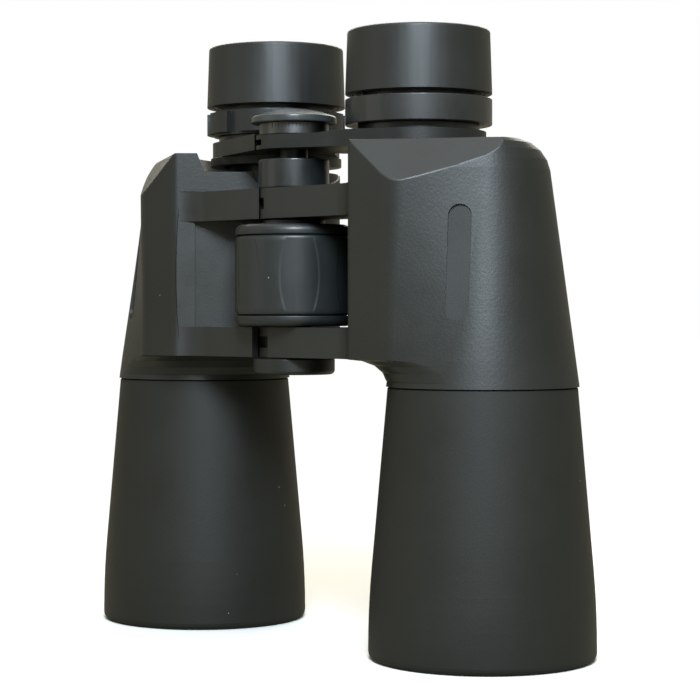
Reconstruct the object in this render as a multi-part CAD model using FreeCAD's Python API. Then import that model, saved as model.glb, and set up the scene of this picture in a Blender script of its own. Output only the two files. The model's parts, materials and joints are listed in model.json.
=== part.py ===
"""Full-size Porro prism binoculars with a centre focus wheel and a dioptre ring on the right eyepiece.

The part stands on its objective ends at z = 0, with +Z up through the eyepieces. The user's left half
is at +X and the right half at -X. The side that faces up in use, with the focus wheel, faces -Y.
Both halves are drawn at +X about the hinge line, and the right half is mirrored over.
"""
import FreeCAD
import Part
import math
import os

Vector = FreeCAD.Vector
UP = Vector(0, 0, 1)

# ---- optical layout (millimetres) ----
OBJECTIVE_SPACING = 115.0      # between the two objective axes
EYE_SPACING = 59.0             # between the two eyepiece axes, as stored
OBJECTIVE_OFFSET = 16.6        # objective axes lie this far behind the hinge line
EYE_OFFSET = 21.0              # eyepiece axes lie this far behind the hinge line
LENS_RADIUS = 25.5             # objective glass

# ---- objective tubes ----
FRONT_RADIUS = 31.5            # armour at the objective end
NECK_RADIUS = 26.2             # armour where the tube meets the housing
FRONT_LENGTH = 14.0            # straight front stretch
TAPER_BLEND = 11.0             # half the length over which it runs into the taper
TUBE_LENGTH = 75.0             # from the front end to the housing
TUBE_SKIN = 1.8                # armour thickness on the tube
TUBE_WALL = 2.0
FRONT_EDGE = 2.0               # rounding of the front lip
FRONT_LIP = 1.5                # armour thickness under the tube's end
TUBE_SEAM = 0.2                # between the armour of the tube and of the housing
NECK_EDGE = 0.3                # chamfer of the tube armour at that seam
SPIGOT_LENGTH = 8.0            # threaded stretch inside the housing
SPIGOT_RADIUS = 21.4
LENS_SETBACK = 9.0             # from the front end to the lens

# ---- prism housings ----
HOUSING_BASE_RADIUS = 26.6     # about the objective axis at the neck
HOUSING_TAPER = 8.2 / 60       # how much that radius shrinks per millimetre of height
PRISM_END_GAP = 0.5            # between a prism's corner and the wall at the eyepiece side
PRISM_FRONT_GAP = 0.3          # between a prism's corner and the front wall
EDGE_A_IN = 5.3                # sharp inner edge of the flat face, from the middle light axis
EDGE_A_ROUND = 2.5
EDGE_B_OUT = 9.7               # soft outer edge, on the other side of the middle light axis
EDGE_B_ROUND = 10.0
NECK_FILLET = 7.5              # concave sweep from the neck to the block's underside
SHOULDER = 8.5                 # rounding of the outer top shoulder
SHOULDER_SHARE = 0.5           # how much of that rounding narrows the outline all round
SHOULDER_LEAN = 0.7            # how much of it moves the outline's outer end forward
TOP_EDGE = 0.8                 # rounding of the facet's and the flat top's edges
ARMOUR = 1.6                   # armour thickness on the housing
HOUSING_WALL = 1.8
LEDGE = 1.3                    # step that carries the prism plate
FLOOR = 1.8
RECESS_RADIUS = 22.0           # sunk round the eyepiece
RECESS_DEPTH = 5.6
RECESS_SETBACK = 9.0           # along the inner wall from edge A to the recess
INNER_DROP = 3.5               # slope of the ledge towards the hinge
INNER_DROP_RUN = 5.0
WINDOW_START = 0.6             # exposed metal panel on the inner wall, measured from edge A
WINDOW_BOW = 1.4               # its top and foot are set back this far from its middle
WINDOW_MARGIN = 0.4            # panel beyond the back of the hinge arms
PANEL_DEPTH = 3.0              # from the wall's outside to the panel's inner face
PANEL_REACH = 4.0              # how far the cuts for it start outside the wall
PANEL_STEP = 1.2               # the wall is set back between the arms
RECESS_LEAN = 0.4              # outward lean of the recess wall, per millimetre of height
ARMOUR_END = 21.2              # along the inner wall, where the armour slopes down to the cover joint
ARMOUR_END_STOP = 36.0
SLOT_WIDTH = 6.3               # thumb slot sunk in the armour
SLOT_HEIGHT = 31.0
SLOT_DEPTH = 0.9
SLOT_ANGLE = 24.0              # from straight ahead, about the objective axis
SLOT_RISE = 10.8               # above the block's underside

# ---- prisms ----
APERTURE = 20.0                # prism face width
PRISM_FLAT = 1.5               # ground off the prism's apex
PLATE_THICK = 2.6
CLIP_WIDTH = 6.0
CLIP_THICK = 0.5
CLIP_FOOT = 3.0
PRISM_HEADROOM = 4.4           # between the upper clip and the top cover
COVER_THICK = 3.0
SCREW_RADIUS = 1.0
SCREW_HEAD = 1.9
SCREW_LENGTH = 8.0
BOSS_RADIUS = 3.4
BOSS_LENGTH = 12.0
BOSS_INSET = 6.2               # from the housing's outside to a screw

# ---- hinge, wheel and bridge ----
LOWER_ARM = 8.6
UPPER_ARM = 8.7
UPPER_DROP = 1.3               # from the cover joint down to the upper arms
ARM_SWEEP = 11.0               # concave sweep from the bare wall into each arm
FAR_TIP = 7.0                  # front corner taken off the lower tongue arm
FORK_NOTCH = 0.5               # front of the lower fork stops this far past the hinge line
NOTCH_FRONT = 7.5              # both stop this far in front of the hinge line
KNUCKLE_RADIUS = 10.0
TONGUE_RADIUS = 8.4
TONGUE_SHARE = 0.34            # tongue height over arm height
TONGUE_BAR = 6.0               # half width
AXLE_RADIUS = 5.5
WHEEL_RADIUS = 17.0
WHEEL_RIM = 3.0
WHEEL_EDGE = 2.0               # rounding of the wheel's ends
WHEEL_BOSS_RADIUS = 9.0
WHEEL_BOSS = 1.4               # from the wheel's top up to the upper arms
GRIP_THICK = 1.7
NUT_RADIUS = 8.0
SPINDLE_RADIUS = 4.0
WHEEL_SPIGOT = 5.5             # how far each axle end reaches into the wheel
POST_HEAD_RADIUS = 10.2
POST_HEAD = 8.4
WHEEL_RELIEF = 1.3             # housing cut back round the wheel
BRIDGE_LIFT = 2.7              # between the post head and the bridge, as stored
BRIDGE_THICK = 4.7
HUB_DROP = 0.7                 # the fork arm is thinner at its hub
HUB_SLOPE = (9.0, 17.0)        # where it slopes up to full thickness, from the hinge line
BRIDGE_HUB = 11.0
BRIDGE_RING = 19.3
BRIDGE_GAP = 1.4               # half gap between the two arms behind the hub
SKIRT_RADIUS = 19.9
SKIRT = 2.5
SCALE_RADIUS = 10.0
SCALE_THICK = 2.9              # above the bridge's full thickness
CAP_RADIUS = 12.3
CAP_RIM = 1.9
CAP_DOME = 2.5
TRIPOD_CAP_RADIUS = 11.8
TRIPOD_CAP_HEIGHT = 4.6
TRIPOD_BUSH_RADIUS = 9.0
TRIPOD_BUSH_FLANGE = 3.3
TRIPOD_HOLE_RADIUS = 2.6       # quarter inch thread, tapping size
TRIPOD_HOLE_DEPTH = 9.0

# ---- eyepieces ----
TUBE_RADIUS = 14.0             # sliding eyepiece tube
TUBE_BORE = 12.4
GUIDE_WALL = 2.0               # round the sliding tube, under the top cover and in the bridge's skirt
FOCUS_DOWN = 1.6               # how far the bridge can sink from where it is stored
COLLAR_RADIUS = 18.9
COLLAR_PROUD = 0.3
BARREL_RADIUS = 16.0
BARREL_WALL = 2.5
BARREL_FLANGE = 17.4           # seat of the ring above the bridge
CELL_WALL = 1.2
RING_RADIUS = 21.0
RING_HEIGHT = 7.4
RING_LIFT = 1.9                # above the bridge
DIOPTRE_BASE = 19.0
DIOPTRE_PADS = 9
DIOPTRE_PAD_ANGLE = 27.0
DIOPTRE_PAD_START = 148.0      # direction of the first pad's near edge
DIOPTRE_PAD_SHORT = 0.6        # pads stop this far from the ring's ends
DIOPTRE_PIN_RADIUS = 0.9
DIOPTRE_TRAVEL = 45.0          # degrees each way
EYECUP_HEIGHT = 18.2
EYECUP_RADIUS = 21.0
EYECUP_TOP_RADIUS = 20.4
EYECUP_OPENING = 15.8
EYECUP_LIP = 4.4
EYECUP_GAP = 1.4
EYECUP_EDGE = 0.8               # rounding of the top rim
SLEEVE_WALL = 1.0
CLICK_WALL = 1.7
BARREL_ABOVE = 21.3            # barrel above the bridge's top
EYE_LENS = 5.0
EYE_BULGE = 0.4                # flatter faces
FIELD_LENS = 3.5
FIELD_BULGE = 1.2              # rounder faces
FIELD_LIFT = 2.0               # field lens above the foot of the ring
CELL_LIFT = 1.5                # cell above the foot of the ring
CELL_DROP = 0.3                # cell below the barrel's top
CELL_LIP = 1.2
FIELD_STOP_THICK = 1.2
FIELD_STOP_OPENING = 9.0
CELL_RADIUS = BARREL_RADIUS - BARREL_WALL

# ---- strap lugs ----
LUG_RISE = 45.5                # above the block's underside
LUG_SHIFT = 2.0                # from the objective's axis towards the hinge
LUG_BASE_RADIUS = 4.2
LUG_BASE = 1.2
LUG_EAR_RADIUS = 3.9
LUG_EAR_THICK = 4.0
LUG_HOLE_RADIUS = 2.0
LUG_SHANK_RADIUS = 2.0
LUG_X = OBJECTIVE_SPACING / 2 - LUG_SHIFT
LUG_STANDOFF = 0.8             # base face clear of the leaning wall

# ---- clearances ----
FIT = 0.05                     # running fit, radial
SKIN_GAP = 0.15                # between a skin and what it covers, and round fixed pieces
MOVE_GAP = 0.4                 # between knuckles and arms that turn past each other
LEAF_GAP = 0.15                # between hinge leaves
END_GAP = 0.3                  # at the wheel's ends
LENS_GAP = 0.1
SPACER_GAP = 0.25              # between a lens rim and the spacer or lip beside it

# ---- places, seen from above with the hinge line at (0, 0) ----
OBJECTIVE = (OBJECTIVE_SPACING / 2, OBJECTIVE_OFFSET)
EYE = (EYE_SPACING / 2, EYE_OFFSET)
# the light comes back down between the two prisms at MIDDLE
HALF_SHIFT = ((EYE[0] - OBJECTIVE[0]) / 2, (EYE[1] - OBJECTIVE[1]) / 2)
MIDDLE = (OBJECTIVE[0] + HALF_SHIFT[0] - HALF_SHIFT[1], OBJECTIVE[1] + HALF_SHIFT[1] + HALF_SHIFT[0])
WALL_INSET = ARMOUR + SKIN_GAP + HOUSING_WALL + LEDGE
PRISM_CORNER = APERTURE / math.sqrt(2)
EYE_SIDE_RADIUS = PRISM_CORNER + WALL_INSET + PRISM_END_GAP
FRONT_FACE = PRISM_CORNER + WALL_INSET + PRISM_FRONT_GAP - MIDDLE[1]
EDGE_A = MIDDLE[0] - EDGE_A_IN
EDGE_B = MIDDLE[0] + EDGE_B_OUT
HINGE_Y = -(OBJECTIVE_OFFSET + FRONT_RADIUS - WHEEL_RADIUS) / 2

# ---- heights: the prism stack stands on the housing's floor and sets the housing's height ----
Z_NECK = TUBE_LENGTH
Z_BLOCK = Z_NECK + NECK_FILLET
Z_FLOOR = Z_BLOCK + ARMOUR + SKIN_GAP + FLOOR
PRISM_REACH = math.hypot(*HALF_SHIFT) / math.sqrt(2) + APERTURE / 2
CLIP_REACH = (CLIP_THICK + LENS_GAP) * math.sqrt(2)
Z_PLATE = Z_FLOOR + PRISM_REACH - PRISM_FLAT + CLIP_REACH + MOVE_GAP
Z_PLATE_TOP = Z_PLATE + PLATE_THICK
Z_PRISM_TOP = Z_PLATE_TOP + PRISM_REACH - PRISM_FLAT
Z_COVER = Z_PRISM_TOP + CLIP_REACH + PRISM_HEADROOM
Z_LEDGE = Z_COVER + COVER_THICK + SKIN_GAP + ARMOUR
Z_HOUSING_TOP = Z_LEDGE + RECESS_DEPTH

# ---- heights: hinge, wheel, bridge and eyepieces ----
Z_LOWER_TOP = Z_BLOCK + LOWER_ARM
Z_WHEEL = Z_LOWER_TOP + END_GAP
Z_UPPER_TOP = Z_COVER - UPPER_DROP
Z_UPPER = Z_UPPER_TOP - UPPER_ARM
Z_WHEEL_TOP = Z_UPPER - END_GAP - WHEEL_BOSS
Z_POST_TOP = Z_UPPER_TOP + POST_HEAD
Z_BRIDGE = Z_POST_TOP + BRIDGE_LIFT
Z_BRIDGE_TOP = Z_BRIDGE + BRIDGE_THICK
Z_HUB_TOP = Z_BRIDGE_TOP - HUB_DROP
Z_TUBE = Z_PRISM_TOP + FOCUS_DOWN + MOVE_GAP
Z_RING = Z_BRIDGE_TOP + RING_LIFT
Z_RING_TOP = Z_RING + RING_HEIGHT
Z_BARREL_TOP = Z_BRIDGE_TOP + BARREL_ABOVE
Z_EYECUP = Z_RING_TOP + EYECUP_GAP
Z_TOP = Z_EYECUP + EYECUP_HEIGHT


# ---------------------------------------------------------------- small helpers
def cylinder(radius, low, high, centre=(0, 0)):
    return Part.makeCylinder(radius, high - low, Vector(centre[0], centre[1], low))


def tube(outer, inner, low, high, centre=(0, 0)):
    return cylinder(outer, low, high, centre).cut(cylinder(inner, low, high, centre))


def box(low, high):
    size = [high[i] - low[i] for i in range(3)]
    return Part.makeBox(size[0], size[1], size[2], Vector(*low))


def prism(points, low, high):
    """Upright solid over a closed outline of (x, y) points."""
    wire = Part.makePolygon([Vector(x, y, low) for x, y in points + points[:1]])
    return Part.Face(wire).extrude(Vector(0, 0, high - low))


def turned(points, centre=(0, 0)):
    """Solid turned about the upright line through centre, from (radius, height) points."""
    wire = Part.makePolygon([Vector(r, 0, z) for r, z in points + points[:1]])
    solid = Part.Face(wire).revolve(Vector(), UP, 360)
    solid.translate(Vector(centre[0], centre[1], 0))
    return solid


def lens_face(radius, vertex, rim):
    """Arc from the axis to the rim of a lens face."""
    sag = rim - vertex
    ball = (radius ** 2 + sag ** 2) / (2 * sag)
    middle = ball - math.copysign(math.sqrt(ball ** 2 - radius ** 2 / 4), ball)
    ends = Vector(0, 0, vertex), Vector(radius / 2, 0, vertex + middle), Vector(radius, 0, rim)
    return Part.Arc(*ends).toShape()


def lens(radius, low, high, low_bulge, high_bulge, centre):
    """Glass disc between two vertex heights. A positive bulge is convex."""
    low_rim = low + low_bulge
    high_rim = high - high_bulge
    edges = [
        lens_face(radius, low, low_rim),
        Part.makeLine(Vector(radius, 0, low_rim), Vector(radius, 0, high_rim)),
        lens_face(radius, high, high_rim),
        Part.makeLine(Vector(0, 0, high), Vector(0, 0, low)),
    ]
    solid = Part.Face(Part.Wire(Part.__sortEdges__(edges))).revolve(Vector(), UP, 360)
    solid.translate(Vector(centre[0], centre[1], 0))
    return solid


def fused(first, *others):
    return first.fuse(list(others)).removeSplitter()


def above_plane(point, normal, size=200.0):
    """Half space on the side that normal points to, as a large block."""
    block = Part.makeBox(size, size, size, Vector(-size / 2, -size / 2, 0))
    block.Placement = FreeCAD.Placement(point, FreeCAD.Rotation(UP, normal))
    return block


# ---------------------------------------------------------------- housing outline
def wall_direction():
    """Unit direction along the inner wall, from edge A towards the eyepiece side."""
    dx = EYE[0] - EDGE_A
    dy = EYE[1] + FRONT_FACE
    bearing = math.atan2(dy, dx) + math.asin(EYE_SIDE_RADIUS / math.hypot(dx, dy))
    return math.cos(bearing), math.sin(bearing)


def edge_a_centre(radius):
    """Centre of a circle that touches the flat face and the inner wall from inside."""
    along = wall_direction()
    shift = radius * (1 - along[0] * -1) / along[1]
    return EDGE_A + shift, radius - FRONT_FACE


def side_turn():
    """Angle between the flat face and the outer front face, at mid height."""
    middle = housing_radius((Z_BLOCK + Z_HOUSING_TOP) / 2)
    dx = OBJECTIVE[0] - EDGE_B
    dy = OBJECTIVE[1] + FRONT_FACE
    return math.atan2(dy, dx) - math.asin(middle / math.hypot(dx, dy))


def housing_radius(height):
    return HOUSING_BASE_RADIUS - HOUSING_TAPER * (height - Z_NECK)


def outline_circles(height, inset, shoulder, spread):
    """The four circles whose hull is the housing's outline at one height, counter-clockwise.

    spread runs from near 0 at the round neck to 1 in the block, and shoulder takes the
    objective side in near the top.
    """
    base = housing_radius(height) - inset
    a_round = max(EDGE_A_ROUND, inset + 0.5)
    b_x = EDGE_B - EDGE_B_ROUND * math.tan(side_turn() / 2)
    circles = [
        ((OBJECTIVE[0], OBJECTIVE[1] - SHOULDER_LEAN * shoulder), base - SHOULDER_SHARE * shoulder),
        (EYE, EYE_SIDE_RADIUS - inset),
        (edge_a_centre(a_round), a_round - inset),
        ((b_x, EDGE_B_ROUND - FRONT_FACE), EDGE_B_ROUND - inset),
    ]
    blended = [circles[0]]
    for centre, radius in circles[1:]:
        x = OBJECTIVE[0] + spread * (centre[0] - OBJECTIVE[0])
        y = OBJECTIVE[1] + spread * (centre[1] - OBJECTIVE[1])
        blended.append(((x, y), base + spread * (radius - base)))
    return blended


def hull_wire(circles, height):
    """Wire round a counter-clockwise ring of circles: outer tangents joined by arcs."""
    count = len(circles)
    normals = []
    for i in range(count):
        (x0, y0), r0 = circles[i]
        (x1, y1), r1 = circles[(i + 1) % count]
        bearing = math.atan2(y1 - y0, x1 - x0)
        lean = math.asin((r0 - r1) / math.hypot(x1 - x0, y1 - y0))
        normals.append(bearing - math.pi / 2 + lean)
    edges = []
    for i in range(count):
        (x, y), radius = circles[i]
        (next_x, next_y), next_radius = circles[(i + 1) % count]
        start = normals[i - 1]
        end = normals[i]
        while end < start:
            end += 2 * math.pi
        stops = [Vector(x + radius * math.cos(t), y + radius * math.sin(t), height)
                 for t in (start, (start + end) / 2, end)]
        edges.append(Part.Arc(*stops).toShape())
        far = Vector(next_x + next_radius * math.cos(normals[i]),
                     next_y + next_radius * math.sin(normals[i]), height)
        edges.append(Part.makeLine(stops[2], far))
    return Part.Wire(edges)


def block_between(inset, low, high):
    """Straight stretch of the housing's shape, taken in by inset all round."""
    wires = [hull_wire(outline_circles(z, inset, 0, 1), z) for z in (low, high)]
    return Part.makeLoft(wires, True, True)


def housing_body(inset):
    """The whole housing's shape, taken in by inset, from the round neck to the cut top."""
    sweep = NECK_FILLET + inset
    wires = []
    for angle in (12, 30, 50, 70, 90):
        height = Z_NECK + sweep * math.sin(math.radians(angle))
        spread = 1 - math.cos(math.radians(angle))
        wires.append(hull_wire(outline_circles(height, inset, 0, spread), height))
    rounding = SHOULDER - inset
    for angle in (0, 20, 40, 60, 80):
        height = Z_HOUSING_TOP - inset - rounding * (1 - math.sin(math.radians(angle)))
        taken = rounding * (1 - math.cos(math.radians(angle)))
        wires.append(hull_wire(outline_circles(height, inset, taken, 1), height))
    block = Part.makeLoft(wires, True, True)
    neck_top = Z_NECK + sweep / 2
    neck = Part.makeCone(housing_radius(Z_NECK) - inset, housing_radius(neck_top) - inset,
                         neck_top - Z_NECK, Vector(OBJECTIVE[0], OBJECTIVE[1], Z_NECK))
    return block.fuse(neck).cut(top_cuts(inset))


def facet_plane(inset):
    """Point and normal of the flat facet across the top front corner."""
    drop = 0.3
    first = Vector(EDGE_A, -FRONT_FACE, Z_HOUSING_TOP - drop)
    second = Vector(EDGE_B, -FRONT_FACE, Z_HOUSING_TOP - 12.1)
    third = Vector(OBJECTIVE[0] + SLOT_DEPTH + 15.4, OBJECTIVE[1] - 6.3, Z_HOUSING_TOP)
    normal = (second - first).cross(third - first).normalize()
    return first - normal * inset, normal


def outer_skin():
    """The housing's outside, with the edges of its facet and of its flat top rounded."""
    body = housing_body(0)
    point, normal = facet_plane(0)
    edges = []
    for edge in body.Edges:
        span = edge.LastParameter - edge.FirstParameter
        places = [edge.valueAt(edge.FirstParameter + span * share) for share in (0, 0.5, 1)]
        on_facet = all(abs((place - point).dot(normal)) < 1e-3 for place in places)
        on_top = all(abs(place.z - Z_HOUSING_TOP) < 1e-3 for place in places)
        if on_facet or on_top:
            edges.append(edge)
    return body.makeFillet(TOP_EDGE, edges)


def recess_shape(inset):
    """Space sunk round the eyepiece and along the inner wall, above the ledge."""
    along = wall_direction()
    start = (EDGE_A + RECESS_SETBACK * along[0], RECESS_SETBACK * along[1] - FRONT_FACE)
    dx = EYE[0] - start[0]
    dy = EYE[1] - start[1]
    bearing = math.atan2(dy, dx) - math.asin(RECESS_RADIUS / math.hypot(dx, dy))
    line = Vector(math.cos(bearing), math.sin(bearing), 0)
    side = UP.cross(line)
    corner = Vector(start[0], start[1], 0) - side * inset
    reach = math.sqrt(dx ** 2 + dy ** 2 - RECESS_RADIUS ** 2)
    points = [corner - line * 40, corner + line * reach, corner + line * reach + side * 40,
              corner - line * 40 + side * 60]
    floor = Z_LEDGE - inset
    lean = RECESS_LEAN * (Z_TOP - floor)
    wires = []
    for shift, height in ((0, floor), (lean, Z_TOP)):
        moved = [Vector(p.x, p.y, height) - side * shift for p in points]
        wires.append(Part.makePolygon(moved + moved[:1]))
    strip = Part.makeLoft(wires, True, True)
    bowl = Part.makeCone(RECESS_RADIUS + inset, RECESS_RADIUS + inset + lean, Z_TOP - floor,
                         Vector(EYE[0], EYE[1], floor))
    return strip.fuse(bowl)


def top_cuts(inset):
    """Everything taken off the top of a housing shape: facet, recess and inner slope."""
    point, normal = facet_plane(inset)
    slope = Vector(-INNER_DROP, 0, INNER_DROP_RUN).normalize()
    inner = Vector(EYE[0] - EYE_SIDE_RADIUS + INNER_DROP_RUN, 0, Z_LEDGE) - slope * inset
    return above_plane(point, normal).fuse([recess_shape(inset), above_plane(inner, slope)])


def wall_frame():
    """Corner where the inner wall starts, and its directions along the wall and into the housing."""
    along = wall_direction()
    return Vector(EDGE_A, -FRONT_FACE, 0), Vector(along[0], along[1], 0), Vector(along[1], -along[0], 0)


def wall_run(depth):
    """Distance along the inner wall at which it is level with a depth in front of the hinge line."""
    return (FRONT_FACE - depth) / wall_direction()[1]


def wall_block(start, end, outside, inside, low, high):
    """Upright block along the inner wall, between two distances from edge A."""
    origin, step, inward = wall_frame()
    corners = [origin + step * start - inward * outside, origin + step * start + inward * inside,
               origin + step * end + inward * inside, origin + step * end - inward * outside]
    return prism([(p.x, p.y) for p in corners], low, high)


def wall_panel(grow):
    """Block round the exposed metal panel on the inner wall, grown for its clearance.

    Its end at edge A is bowed.
    """
    window_end = wall_run(-KNUCKLE_RADIUS) + WINDOW_MARGIN
    block = wall_block(WINDOW_START - grow, window_end + grow, PANEL_REACH, PANEL_DEPTH,
                       Z_BLOCK - grow, Z_UPPER_TOP + grow)
    origin, step, inward = wall_frame()
    half = (Z_UPPER_TOP - Z_BLOCK) / 2
    radius = (half ** 2 + WINDOW_BOW ** 2) / (2 * WINDOW_BOW)
    middle = origin + step * (WINDOW_START + radius) + UP * (Z_BLOCK + half)
    bow = Part.makeCylinder(radius + grow, 2 * PANEL_REACH + PANEL_DEPTH,
                            middle - inward * (PANEL_REACH + 1), inward)
    return block.common(bow)


def wall_pocket():
    """Set-back stretch of the wall between the two arms, behind the wheel."""
    return wall_block(wall_run(KNUCKLE_RADIUS), wall_run(-KNUCKLE_RADIUS), PANEL_REACH, PANEL_STEP,
                      Z_LOWER_TOP, Z_UPPER)


def armour_end():
    """Sloping cut that ends the armour on the inner wall, next to the hinge."""
    origin, step, inward = wall_frame()
    drop = Z_LEDGE - Z_COVER
    outline = [(ARMOUR_END - 1, Z_LEDGE + 1), (ARMOUR_END + drop, Z_COVER),
               (ARMOUR_END_STOP, Z_COVER), (ARMOUR_END_STOP, Z_LEDGE + 1)]
    points = [origin - inward * 2 + step * run + UP * height for run, height in outline]
    wire = Part.makePolygon(points + points[:1])
    return Part.Face(wire).extrude(inward * (2 + ARMOUR + SKIN_GAP))


def side_bearing(height):
    """Direction that the outer front face looks in at one height, seen from above."""
    circles = outline_circles(height, 0, 0, 1)
    (b_x, b_y), b_round = circles[3]
    (x, y), radius = circles[0]
    lean = math.asin((b_round - radius) / math.hypot(x - b_x, y - b_y))
    return math.atan2(y - b_y, x - b_x) - math.pi / 2 + lean


def screw_places(height):
    """Where screws go down into the housing's wall at one height."""
    reach = housing_radius(height) - BOSS_INSET
    side = side_bearing(height)
    back = ((OBJECTIVE[0] + EYE[0]) / 2,
            (OBJECTIVE[1] + housing_radius(height) + EYE[1] + EYE_SIDE_RADIUS) / 2 - BOSS_INSET)
    corner = reach * math.sqrt(0.5)
    return [back, (OBJECTIVE[0] + reach * math.cos(side), OBJECTIVE[1] + reach * math.sin(side)),
            (OBJECTIVE[0] + corner, OBJECTIVE[1] + corner)]


# ---------------------------------------------------------------- hinge pieces
def knuckle_levels(low, high):
    """Heights of the tongue between the two leaves of a fork."""
    middle = (low + high) / 2
    half = (high - low) * TONGUE_SHARE / 2
    return middle - half, middle + half


def fork(outline, knuckle, low, high):
    """Arm whose end is a fork of two leaves with a full-height front."""
    tongue_low, tongue_high = knuckle_levels(low, high)
    slot_low = tongue_low - LEAF_GAP
    slot_high = tongue_high + LEAF_GAP
    slot = cylinder(TONGUE_RADIUS + MOVE_GAP, slot_low, slot_high)
    open_side = box((-2 * knuckle, -2 * knuckle, slot_low), (-TONGUE_BAR * 0.4, 2 * knuckle, slot_high))
    return fused(outline, cylinder(knuckle, low, high)).cut([slot, open_side])


def tongue(outline, knuckle, low, high):
    """Arm whose end clears the other arm's fork and reaches in as a tongue. The arm may stand higher."""
    tongue_low, tongue_high = knuckle_levels(low, high)
    blade = cylinder(TONGUE_RADIUS, tongue_low, tongue_high)
    bar = box((0, -TONGUE_BAR, tongue_low), (knuckle + 2, TONGUE_BAR, tongue_high))
    arm = outline.cut(cylinder(knuckle + MOVE_GAP, low - 1, high + HUB_DROP + 1))
    return fused(arm, blade, bar)


def arm_bar(low, high):
    """Straight hinge arm from the hinge line into the housing's wall, which sweeps into it."""
    origin, step, inward = wall_frame()
    bar = box((0, -KNUCKLE_RADIUS, low), (2 * EDGE_A, KNUCKLE_RADIUS, high))
    meet = origin + step * wall_run(KNUCKLE_RADIUS) + UP * low
    turn = math.pi - math.atan2(step.y, step.x)
    tangent = ARM_SWEEP * math.tan(turn / 2)
    on_wall = meet - step * tangent
    on_arm = meet - Vector(tangent, 0, 0)
    centre = on_wall - inward * ARM_SWEEP
    middle = centre + (meet - centre).normalize() * ARM_SWEEP
    edges = [Part.Arc(on_wall, middle, on_arm).toShape(), Part.makeLine(on_arm, meet),
             Part.makeLine(meet, on_wall)]
    sweep = Part.Face(Part.Wire(edges)).extrude(Vector(0, 0, high - low))
    depth = origin + inward * PANEL_DEPTH + UP * (low - 1)
    return fused(bar.cut(above_plane(depth, inward)), sweep)


def hinge_arm(low, high, forked):
    bar = arm_bar(low, high)
    lower = low < Z_LOWER_TOP
    if forked:
        arm = fork(bar, KNUCKLE_RADIUS, low, high)
        notch = box((-2 * KNUCKLE_RADIUS, -2 * KNUCKLE_RADIUS, low - 1),
                    (-FORK_NOTCH, -NOTCH_FRONT, high + 1))
        return arm.cut(notch) if lower else arm
    if lower:
        bar = bar.cut(box((0, -2 * KNUCKLE_RADIUS, low - 1), (FAR_TIP, -NOTCH_FRONT, high + 1)))
    else:
        tip = [(KNUCKLE_RADIUS * 0.75, -KNUCKLE_RADIUS), (KNUCKLE_RADIUS * 0.38, -KNUCKLE_RADIUS * 0.86),
               (0, -KNUCKLE_RADIUS * 0.86), (0, -KNUCKLE_RADIUS - 1),
               (KNUCKLE_RADIUS * 0.75, -KNUCKLE_RADIUS - 1)]
        bar = bar.cut(prism(tip, low - 1, high + 1))
    return tongue(bar, KNUCKLE_RADIUS, low, high)


def hub_slope():
    """Space over the fork arm, which is thinner at its hub and slopes up towards the eyepiece."""
    towards = Vector(EYE[0], EYE[1], 0).normalize()
    low, high = HUB_SLOPE
    outline = [(-2 * BRIDGE_HUB, Z_HUB_TOP), (low, Z_HUB_TOP), (high, Z_BRIDGE_TOP), (high, Z_BRIDGE_TOP + 1),
               (-2 * BRIDGE_HUB, Z_BRIDGE_TOP + 1)]
    side = UP.cross(towards) * (2 * BRIDGE_HUB)
    points = [towards * run + UP * height - side for run, height in outline]
    wire = Part.makePolygon(points + points[:1])
    return Part.Face(wire).extrude(side * 2)


def bridge_arm(forked):
    """Bridge arm with the ring that clamps one eyepiece."""
    hub = ((0, 0), BRIDGE_HUB)
    ring = (EYE, BRIDGE_RING)
    outline = Part.Face(hull_wire([ring, hub], Z_BRIDGE)).extrude(Vector(0, 0, BRIDGE_THICK))
    behind = box((-60, 0, Z_BRIDGE - 1), (BRIDGE_GAP, 60, Z_BRIDGE_TOP + 1))
    outline = outline.cut(behind)
    if forked:
        outline = outline.cut(hub_slope())
    shape = (fork if forked else tongue)(outline, BRIDGE_HUB, Z_BRIDGE, Z_HUB_TOP)
    skirt = cylinder(SKIRT_RADIUS, Z_BRIDGE - SKIRT, Z_BRIDGE, EYE)
    hollow = cylinder(TUBE_RADIUS + GUIDE_WALL, Z_BRIDGE - SKIRT, Z_BRIDGE, EYE)
    bore = cylinder(TUBE_RADIUS + FIT, Z_BRIDGE - 1, Z_BRIDGE_TOP + 1, EYE)
    pivot = cylinder(SPINDLE_RADIUS + FIT, Z_BRIDGE - 1, Z_BRIDGE_TOP + 1)
    return fused(shape, skirt).cut([hollow, bore, pivot])


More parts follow.
